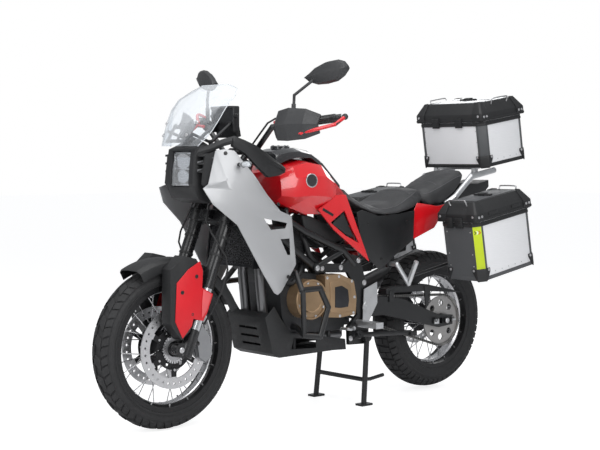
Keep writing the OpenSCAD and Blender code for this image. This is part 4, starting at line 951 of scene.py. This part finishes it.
at_points("cover_bolts", cover_bolts, SMALL_BOLT, bolt_steel, "chassis", 1.2)
pipes = both_sides([tube(smooth_path([(60, 640, 790), (96, 660, 740), (108, 690, 660), (100, 760, 620)],
    6), 13, 16), tube(smooth_path([(104, 520, 600), (128, 560, 560), (124, 610, 596), (100, 650, 640)],
        6), 10, 14)])
trim("coolant_hoses", pipes, hose_rubber, "chassis", 0, 2, 50)
airbox = both_sides([plate([(640, 850), (700, 838), (870, 770), (880, 730), (760, 700), (660, 760)], 40,
    108)])
trim("airbox_sides", airbox, black_plastic, "chassis", 8, 3, 45)
frame_nuts = [((s * x, y, z), (s, 0, 0), (0, 0, 1)) for s in (-1, 1) for x, y,
    z in ((154, 688, 620), (136, 730, 616), (136, 840, 614), (136, 945, 640), (136, 980, 540),
        (136, 900, 300), (136, 996, 300))]
at_points("frame_bolts", frame_nuts, shape_of("frame_bolt", bolt_head(9, 5)), bolt_steel, "chassis")
pivot_cap = both_sides([turned([(0, 8), (8, 8), (9, 6), (22, 6), (24, 3), (24, 0), (0, 0)],
    (144, 985, 432), (1, 0, 0), 40, False)])
trim("pivot_caps", pivot_cap, silver_metal, "chassis", 0, 2, 30)

# ------------------------------------------------------------------ chain and its adjusters
def chain_line(count):
    """Points along the chain at its middle, with a direction."""
    f, r = (932.0, 432.0, 41.0), (1520.0, 329.0, 118.0)
    dy, dz = r[0] - f[0], r[1] - f[1]
    length = math.hypot(dy, dz)
    lean, spread = math.atan2(dz, dy), math.acos((f[2] - r[2]) / length)
    a1, a2 = lean + spread, lean - spread
    line = []
    for arc, start, end in (((f), a1, a2 + 2 * math.pi), ((r), a2, a1)):
        steps = 24 if arc is f else 60
        sweep = (end - start) if arc is f else (a1 - a2)
        line += [(arc[0] + arc[2] * math.cos((start if arc is f else a2) + sweep * k / steps),
            arc[1] + arc[2] * math.sin((start if arc is f else a2) + sweep * k / steps)) for k in range(steps + 1)]
    line.append(line[0])
    total = sum(math.dist(line[i], line[i + 1]) for i in range(len(line) - 1))
    out, want, walked, i = [], 0.0, 0.0, 0
    while len(out) < count and i < len(line) - 1:
        seg = math.dist(line[i], line[i + 1])
        if seg > 1e-9 and walked + seg >= want:
            t = (want - walked) / seg
            y, z = line[i][0] + (line[i + 1][0] - line[i][0]) * t, line[i][1] + (line[i + 1][1] - line[i][1]) * t
            along = ((line[i + 1][0] - line[i][0]) / seg, (line[i + 1][1] - line[i][1]) / seg)
            out.append(((y, z), along))
            want += total / count
        else:
            walked += seg
            i += 1
    return out


def link_plate(x):
    n = 8
    left = [(-7.9 + 5.2 * math.cos(t),
        5.2 * math.sin(t)) for t in (math.pi / 2 + math.pi * k / n for k in range(n + 1))]
    right = [(7.9 + 5.2 * math.cos(t),
        5.2 * math.sin(t)) for t in (-math.pi / 2 + math.pi * k / n for k in range(n + 1))]
    ring = left + right
    return loft([[(u, v, x) for u, v in ring], [(u, v, x + 1.4) for u, v in ring]])


links = chain_line(118)
link_shape = shape_of("chain_link", [link_plate(7.6), link_plate(-9.0)])
chain_places = [((88, y, z), (1, 0, 0), (0, d[0], d[1])) for (y, z), d in links]
at_points("chain_links", chain_places, link_shape, chain_steel, "chassis", 1.0, 40)
adjust = both_sides([block(124, 130, 1440, 1470, 318, 340), turned([(0, 0), (5, 0), (5, 26), (0, 26)],
    (126, 1560, 329), (0, 1, 0), 12, False)])
trim("chain_adjusters", adjust, silver_metal, "chassis", 1)

# ------------------------------------------------------------------ luggage cases
corner_grey = moulded_plastic("corner_grey", (0.075, 0.078, 0.082), 0.42, 900, 0.08)
strip_yellow = moulded_plastic("strip_yellow_green", (0.50, 0.62, 0.012), 0.4, 2400, 0.05)
mark_white, mark_black, mark_red = (moulded_plastic(n, c, 0.4, 2400, 0.04) for n, c in
                                    (("mark_white", (0.8, 0.8, 0.8)),
                                        ("mark_black", (0.012, 0.012, 0.012)),
                                            ("mark_red", (0.6, 0.01, 0.015))))
C = 26


def carried(parts, origin, tilt, flip):
    """Parts drawn in a case's own frame (across, back, up), carried to its place; flip is -1 for the right side."""
    c, s = math.cos(math.radians(tilt)), math.sin(math.radians(tilt))
    return [([(flip * (origin[0] + u), origin[1] + v * c - w * s, origin[2] + v * s + w * c) for u, v,
        w in p],
             f if flip > 0 else [list(reversed(k)) for k in f]) for p, f in parts]


def case_ring(w, d, o, z, c=C):
    k = c - 0.414 * o
    return [(k, -o, z), (w - k, -o, z), (w + o, k, z), (w + o, d - k, z), (w - k, d + o, z),
        (k, d + o, z), (-o, d - k, z), (-o, k, z)]


def band(w, d, outer, inner, z0, z1):
    return loft([case_ring(w, d, outer, z0), case_ring(w, d, outer, z1), case_ring(w, d, inner, z1),
        case_ring(w, d, inner, z0)], True)


def four_corners(part, w, d):
    p, f = part
    back = [list(reversed(k)) for k in f]
    return [part, ([(w - u, v, z) for u, v, z in p], back), ([(u, d - v, z) for u, v, z in p], back),
        ([(w - u, d - v, z) for u, v, z in p], f)]


def corner_wrap(levels):
    """A guard round one chamfered corner; levels are (height, thickness, reach along the sides)."""
    rings = []
    for z, o, reach in levels:
        k = C - 0.414 * o
        rings.append([(C + reach, -o, z), (k, -o, z), (-o, k, z), (-o, C + reach, z), (0.2, C + reach, z),
            (0.2, C, z), (C, 0.2, z), (C + reach, 0.2, z)])
    return loft(rings)


def lid_corner(h, lid):
    z0, z1, z2 = h + 1, h + lid * 0.44, h + lid + 3
    plan = [(50, -6.5), (2, -6.5), (-6.5, 2), (-6.5, 50), (-2, 50), (-2, -2), (50, -2)]
    return loft([[(u, v, z0) for u, v in plan], [(u, v, z1) for u, v in plan],
        [(u * 0.55 + 30, v * 0.55 + 30, z2) for u, v in plan]])


def luggage(name, lid_name, w, d, h, lid, origin, tilt, flip=1):
    body, lid_body = BODY[name], BODY[lid_name]

    def add(label, parts, finish, rides, soft=0.8, segments=2):
        mesh = from_parts(label, carried(parts, origin, tilt, flip))
        return keep(name + "_" + label, softened(mesh, soft, segments) if soft else mesh, finish, rides)

    side = name != "top_case"
    add("columns", four_corners(corner_wrap([(16, 1.6, 12), (h - 10, 1.6, 12)]), w, d), corner_grey, body,
        0.4)
    add("corner_guards", four_corners(corner_wrap([(-6, 4.5, 0), (6, 5.5, 8), (40, 5.5, 26),
        (52, 4.5, 26)]), w, d), black_plastic, body, 1.5)
    add("upper_rail", [band(w, d, 4.2, 0.2, h - 20, h - 10), band(w, d, 2.6, 0.2, h - 10, h - 1)],
        black_plastic, body, 1)
    add("lower_rail", [band(w, d, 1.8, 0.2, -2, 15)], corner_grey if side else black_plastic, body,
        0.6)
    add("lid_rail", [loft([[(-5, -5, h + 3), (w + 5, -5, h + 3), (w + 5, d + 5, h + 3),
        (-5, d + 5, h + 3)], [(-5, -5, h + 13), (w + 5, -5, h + 13), (w + 5, d + 5, h + 13),
            (-5, d + 5, h + 13)],
                           [(-2.8, -2.8, h + 13), (w + 2.8, -2.8, h + 13), (w + 2.8, d + 2.8, h + 13),
                               (-2.8, d + 2.8, h + 13)],
                           [(-2.8, -2.8, h + 3), (w + 2.8, -2.8, h + 3), (w + 2.8, d + 2.8, h + 3),
                               (-2.8, d + 2.8, h + 3)]], True)], black_plastic, lid_body,
                                   1)
    add("lid_corners", four_corners(lid_corner(h, lid), w, d), black_plastic, lid_body,
        1.8)
    top = h + lid + 0.5
    if side:
        plates = [block(44, w - 44, 60, d - 60, top - 0.4, top + 1.6)]
        add("lid_plates", plates, corner_grey, lid_body, 2.5)
    else:
        plates = [block(70, w - 70, 34, d / 2 - 12, top - 0.4, top + 1.6),
            block(70, w - 70, d / 2 + 12, d - 34, top - 0.4, top + 1.6),
                  block(34, 62, 70, d - 70, top - 0.4, top + 1.6),
                      block(w - 62, w - 34, 70, d - 70, top - 0.4, top + 1.6)]
        add("lid_plates", plates, lid_plate_metal, lid_body, 0.7)
    add("lid_ribs", [block(w / 2 - 50, w / 2 + 50, d / 2 - 9, d / 2 + 9, top, top + 9),
        block(w / 2 - 20, w / 2 + 20, d / 2 - 14, d / 2 + 14, top, top + 13)], black_plastic, lid_body,
            3)
    latches, ridges = [], []
    for u in ((0.30, 0.66) if not side else (0.30, 0.56)):
        x = w * u
        latches += [block(x - 21, x + 21, -11, -3, h - 26, h + 20),
            block(x - 17, x + 17, -13, -9, h - 20, h + 12)]
        ridges += [block(x - 18, x + 18, -14.6, -12, h - 18 + k * 9, h - 14.5 + k * 9) for k in range(4)]
    if side:
        latches += [block(w + 2.8, w + 7, y - 30, y + 30, h + 20, h + 32) for y in (d * 0.3, d * 0.72)]
    add("latches", latches, black_plastic, lid_body, 1.6)
    add("latch_ridges", ridges, black_plastic, lid_body, 0.5)
    recess = []
    for x in (w * 0.30, w * 0.70):
        recess.append(loft([[(x - 30, 4.5, h + 40), (x + 30, 4.5, h + 40), (x + 24, 13, h + 56),
            (x - 24, 13, h + 56)], [(x - 30, 2.5, h + 41), (x + 30, 2.5, h + 41), (x + 24, 11, h + 58),
                (x - 24, 11, h + 58)]]))
    add("lid_recesses", recess, lamp_black, lid_body, 1.2)
    wires = [tube(smooth_path([(w * 0.28, 20, top - 14), (w * 0.28, 12, top + 6),
        (w * 0.33, 10, top + 12), (w * 0.67, 10, top + 12), (w * 0.72, 12, top + 6),
            (w * 0.72, 20, top - 14)], 5), 3.2, 10)]
    wires.append(([(u, d - v, z) for u, v, z in wires[0][0]], [list(reversed(k)) for k in wires[0][1]]))
    if not side:
        wires = [([(w - v + 4, u * 0.62 + 24, z) for u, v, z in p], f) for p,
            f in wires[:1]] + [([(v - 4, u * 0.62 + 24, z) for u, v, z in p], f) for p, f in wires[:1]]
    add("wire_loops", wires, bolt_steel, lid_body, 0)
    if side:
        front = [[(w - C + 0.4, -1, z), (C - 0.4, -1, z), (-1, C - 0.4, z), (-1, C + 1, z),
            (0.2, C + 1, z), (0.2, C, z), (C, 0.2, z), (w - C, 0.2, z)]
                 for z in (15, h - 20)]
        add("front_cover", [loft(front)], corner_grey, body, 0)
        add("colour_strip", [loft([[(w - C, 0.1, z), (w - C + 1.4, -2.6, z), (w + 2.6, C - 1.4, z),
            (w - 0.1, C, z)] for z in (40, h - 20)])], strip_yellow, body, 0.3)
        for k, (label, finish) in enumerate((("mark_one", mark_black), ("mark_two", mark_white),
            ("mark_three", mark_red))):
            chevron = [((4 + k * 10 + v) * 0.7071, h - 46 + z) for v,
                z in ((0, -8), (4, -8), (9.5, 0), (4, 8), (0, 8), (5, 0))]
            add(label, [loft([[(w - C + q + out, q - out, z) for q, z in chevron] for out in (1.9,
                2.6)])], finish, body, 0)
    c, s = math.cos(math.radians(tilt)), math.sin(math.radians(tilt))

    def spot(u, v, z, n):
        return ((flip * (origin[0] + u), origin[1] + v * c - z * s, origin[2] + v * s + z * c),
            (flip * n[0], n[1] * c - n[2] * s, n[1] * s + n[2] * c), (0, 0.1, 1))

    rivets = [spot(u, -1.0 if side else -0.2, z, (0, -1, 0)) for u in (C + 16, w - C - 16) for z in (64,
        118, h - 44)]
    rivets += [spot(w + 0.2, v, 28, (1, 0, 0)) for v in (90, 135, 180, 225,
        270) if v < d - 60] + [spot(-0.2, v, 28, (-1, 0, 0)) for v in (90, 135, 180, 225) if v < d - 60]
    at_points(name + "_rivets", rivets, RIVET, bolt_steel, body, 1.0)
    bolts = []
    for u, v, n in ((C + 16, -5.4, (0, -1, 0)), (w - C - 16, -5.4, (0, -1, 0)),
        (w + 5.4, C + 16, (1, 0, 0)), (w + 5.4, d - C - 16, (1, 0, 0)), (-5.4, C + 16, (-1, 0, 0)),
            (-5.4, d - C - 16, (-1, 0, 0)),
                    (C + 16, d + 5.4, (0, 1, 0)), (w - C - 16, d + 5.4, (0, 1, 0))):
        bolts.append(spot(u, v, 45, n))
    at_points(name + "_guard_bolts", bolts, SMALL_BOLT, bolt_steel, body, 1.1)
    lid_bolts = [spot(w + 6.4, v, h + 22, (1, 0, 0)) for v in (14, 34, d - 34, d - 14)] + [spot(u, -6.4,
        h + 26, (0, -1, 0)) for u in (14, w - 14)] + [spot(-6.4, v, h + 22, (-1, 0, 0)) for v in (14, 34,
            d - 34, d - 14)]
    at_points(name + "_lid_bolts", lid_bolts, SMALL_BOLT, bolt_steel, lid_body, 1.1)
    refined(name, case_metal, 0.6, 1, 30)
    refined(lid_name, black_plastic, 3, 2, 34)


luggage("top_case", "top_case_lid", 410, 303, 215, 86, (-205, 1704, 1044), 9)
luggage("left_pannier", "left_pannier_lid", 222, 372, 262, 84, (258, 1375, 545), 10)
luggage("right_pannier", "right_pannier_lid", 222, 372, 262, 84, (258, 1375, 545), 10, -1)

# ------------------------------------------------------------------ seats
seat_vinyl = Finish("seat_vinyl", (0.035, 0.036, 0.038), 0.55, 0.0, 0.0, 0.1, 1.5)
seat_vinyl.set(Roughness=seat_vinyl.noise(26).ramp(0.2, 0.8, 0.48, 0.62))
seat_vinyl.bump(seat_vinyl.cells(620), 0.35, 0.0006)
thread = moulded_plastic("seat_thread", (0.09, 0.09, 0.095), 0.6, 3000, 0.1)
stuffing = {}
for node in ("rider_seat", "passenger_seat"):
    bm = bmesh.new()
    bm.from_mesh(NODES[node].data)
    bmesh.ops.remove_doubles(bm, verts=bm.verts, dist=2e-5)
    mesh = bpy.data.meshes.new(node + "_form")
    bm.to_mesh(mesh)
    bm.free()
    piece = bpy.data.objects.new(node + "_form", mesh)
    bpy.context.scene.collection.objects.link(piece)
    even = piece.modifiers.new("even", "REMESH")
    even.mode, even.voxel_size = "VOXEL", 0.0065
    ease = piece.modifiers.new("ease", "SMOOTH")
    ease.factor, ease.iterations = 0.5, 8
    bpy.context.view_layer.update()
    form = bpy.data.objects.new(node + "_cover", settled(piece))
    bpy.data.objects.remove(piece)
    bpy.context.scene.collection.objects.link(form)
    held = form.vertex_groups.new(name="held")
    held.add([v.index for v in form.data.vertices if v.normal.z < -0.35], 1.0, "REPLACE")
    stuffing[node] = form
    cloth = form.modifiers.new("stuffed", "CLOTH")
    c = cloth.settings
    c.quality, c.mass, c.tension_stiffness, c.compression_stiffness, c.shear_stiffness, c.bending_stiffness = 4, 0.3, 24, 24, 10, 2.0
    c.vertex_group_mass, c.use_pressure, c.uniform_pressure_force = "held", True, 4.0
    c.effector_weights.gravity = 0.0
    cloth.point_cache.frame_start, cloth.point_cache.frame_end = 1, 20
for frame in range(1, 21):
    bpy.context.scene.frame_set(frame)
for node, form in stuffing.items():
    rest = [v.co.copy() for v in form.data.vertices]
    puffed = settled(form)
    for v, r in zip(puffed.vertices, rest):
        move = v.co - r
        v.co = r + (move.normalized() * min(move.length, 0.010) if move.length > 1e-9 else move)
    bpy.data.objects.remove(form)
    round_off = bpy.data.objects.new(node + "_round", puffed)
    bpy.context.scene.collection.objects.link(round_off)
    calm = round_off.modifiers.new("calm", "SMOOTH")
    calm.factor, calm.iterations = 0.5, 3
    bpy.context.view_layer.update()
    cover_mesh = settled(round_off)
    bpy.data.objects.remove(round_off)
    tree = BVHTree.FromPolygons([v.co.copy() for v in cover_mesh.vertices],
        [list(p.vertices) for p in cover_mesh.polygons])
    cushion = keep(node + "_cushion", cover_mesh, seat_vinyl, BODY[node], 60)
    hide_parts(node)
    if node == "rider_seat":
        seams = [[(s * (half + 10), y, z - 8) for y, half, z in ((985, 74, 916), (1030, 96, 880), (1090,
            112, 868), (1180, 124, 884), (1270, 118, 922), (1340, 96, 948))] for s in (-1, 1)]
        seams.append([(x, 1292, 932) for x in (-112, -80, -40, 0, 40, 80, 112)])
    else:
        seams = [[(s * (half + 3), y, z - 22) for y, half, z in ((1410, 74, 944), (1440, 92, 952), (1520,
            104, 986), (1600, 106, 1018), (1650, 98, 1028))] for s in (-1, 1)]
        seams.append([(x, 1486, 974) for x in (-96, -60, -20, 20, 60, 96)])
    lines = []
    for seam in seams:
        path = []
        for p in smooth_path(seam, 10):
            spot = tree.find_nearest(Vector(at(*p)))[0]
            path.append((spot.x * 1000, spot.y * 1000 + MID_Y, spot.z * 1000))
        lines.append(tube(path, 1.7, 8))
    trim(node + "_seams", lines, thread, BODY[node], 0, 2, 60)

# ------------------------------------------------------------------ fork and tail
LEAN = math.tan(math.radians(22))
polished = brushed_metal("stanchion_chrome", (0.62, 0.63, 0.65), (60, 60, 1), 0.14)
stanchions = [tube([(103, 38 + (z0 - 329) * LEAN, z0), (103, 38 + (z1 - 329) * LEAN, z1)], 28.2,
    28) for z0, z1 in ((404, 566),)]
trim("stanchions", both_sides(stanchions), polished, "steering", 0, 2, 50)
collars = [tube([(103, 38 + (z - 329) * LEAN, z), (103, 38 + (z + 9 - 329) * LEAN, z + 9)], 30,
    28) for z in (566, 690, 760)]
trim("fork_collars", both_sides(collars), black_plastic, "steering", 1, 2, 40)
red_lens = Finish("tail_lens_red", (0.5, 0.004, 0.008), 0.12, 0.0, 1.0, 0.04)
red_lens.bump(red_lens.cells(240), 0.4, 0.001)
trim("tail_light", [block(-56, 56, 1862, 1873, 952, 978)], red_lens, "chassis", 2)


# ------------------------------------------------------------------ studio
camera = bpy.data.objects.new("studio_camera", bpy.data.cameras.new("studio_camera"))
bpy.context.scene.collection.objects.link(camera)
camera.location = (4.4597, -3.9989, 1.0934)
camera.rotation_euler = (math.radians(87.132), 0, math.radians(48.94))
camera.data.lens = 81.64
camera.data.sensor_width = 36
camera.data.clip_end = 60
bpy.context.scene.camera = camera
bpy.context.scene.view_settings.view_transform = "Standard"


def soft_box(name, place, aim, size, power):
    lamp = bpy.data.objects.new(name, bpy.data.lights.new(name, "AREA"))
    lamp.data.shape, lamp.data.size, lamp.data.size_y, lamp.data.energy = "RECTANGLE", size[0], size[1], power
    lamp.location = place
    lamp.rotation_euler = (Vector(aim) - Vector(place)).to_track_quat("-Z", "Y").to_euler()
    bpy.context.scene.collection.objects.link(lamp)
    return lamp


soft_box("top_soft_box", (0.6, -0.6, 3.6), (0, 0, 0.4), (3.4, 3.0), 72)
soft_box("key_soft_box", (3.6, -1.0, 2.4), (0, 0, 0.6), (2.2, 2.2), 62)
soft_box("front_soft_box", (0.6, -4.2, 1.8), (0, 0, 0.6), (2.4, 2.0), 46)
soft_box("rear_soft_box", (-1.6, 3.6, 2.4), (0, 0, 0.7), (2.2, 2.0), 30)

world = bpy.data.worlds.new("studio_world")
bpy.context.scene.world = world
world.use_nodes = True
wt = world.node_tree
rays = wt.nodes.new("ShaderNodeLightPath")
white, dim = wt.nodes.new("ShaderNodeBackground"), wt.nodes["Background"]
white.inputs[0].default_value, white.inputs[1].default_value = (1, 1, 1, 1), 1.0
dim.inputs[0].default_value, dim.inputs[1].default_value = (0.95, 0.97, 1.0, 1), 0.42
gloss = wt.nodes.new("ShaderNodeMath")
gloss.operation = "MAXIMUM"
wt.links.new(rays.outputs["Is Camera Ray"], gloss.inputs[0])
wt.links.new(rays.outputs["Is Transmission Ray"], gloss.inputs[1])
pick = wt.nodes.new("ShaderNodeMixShader")
wt.links.new(gloss.outputs[0], pick.inputs[0])
wt.links.new(dim.outputs[0], pick.inputs[1])
wt.links.new(white.outputs[0], pick.inputs[2])
wt.links.new(pick.outputs[0], wt.nodes["World Output"].inputs[0])

floor_mesh = bpy.data.meshes.new("studio_floor")
floor_mesh.from_pydata([(-30, -30, 0), (30, -30, 0), (30, 30, 0), (-30, 30, 0)], [], [(0, 1, 2, 3)])
floor = bpy.data.objects.new("studio_floor", floor_mesh)
bpy.context.scene.collection.objects.link(floor)
floor_finish = Finish("studio_floor", (0.86, 0.86, 0.87), 0.4)
floor_finish.set(**{"Emission Color": (1, 1, 1, 1)})
ft = floor_finish.tree
path = ft.nodes.new("ShaderNodeLightPath")
glow = ft.nodes.new("ShaderNodeEmission")
glow.inputs[1].default_value = 1.85
floor_mix = ft.nodes.new("ShaderNodeMixShader")
floor_mix.inputs[0].default_value = 0.35
lit = ft.nodes.new("ShaderNodeMath")
lit.operation = "MULTIPLY"
lit.inputs[1].default_value = 0.42
ft.links.new(path.outputs["Is Camera Ray"], lit.inputs[0])
ft.links.new(lit.outputs[0], floor_mix.inputs[0])
ft.links.new(floor_finish.shader.outputs[0], floor_mix.inputs[1])
ft.links.new(glow.outputs[0], floor_mix.inputs[2])
ft.links.new(floor_mix.outputs[0], ft.nodes["Material Output"].inputs[0])
floor_mesh.materials.append(floor_finish.material)
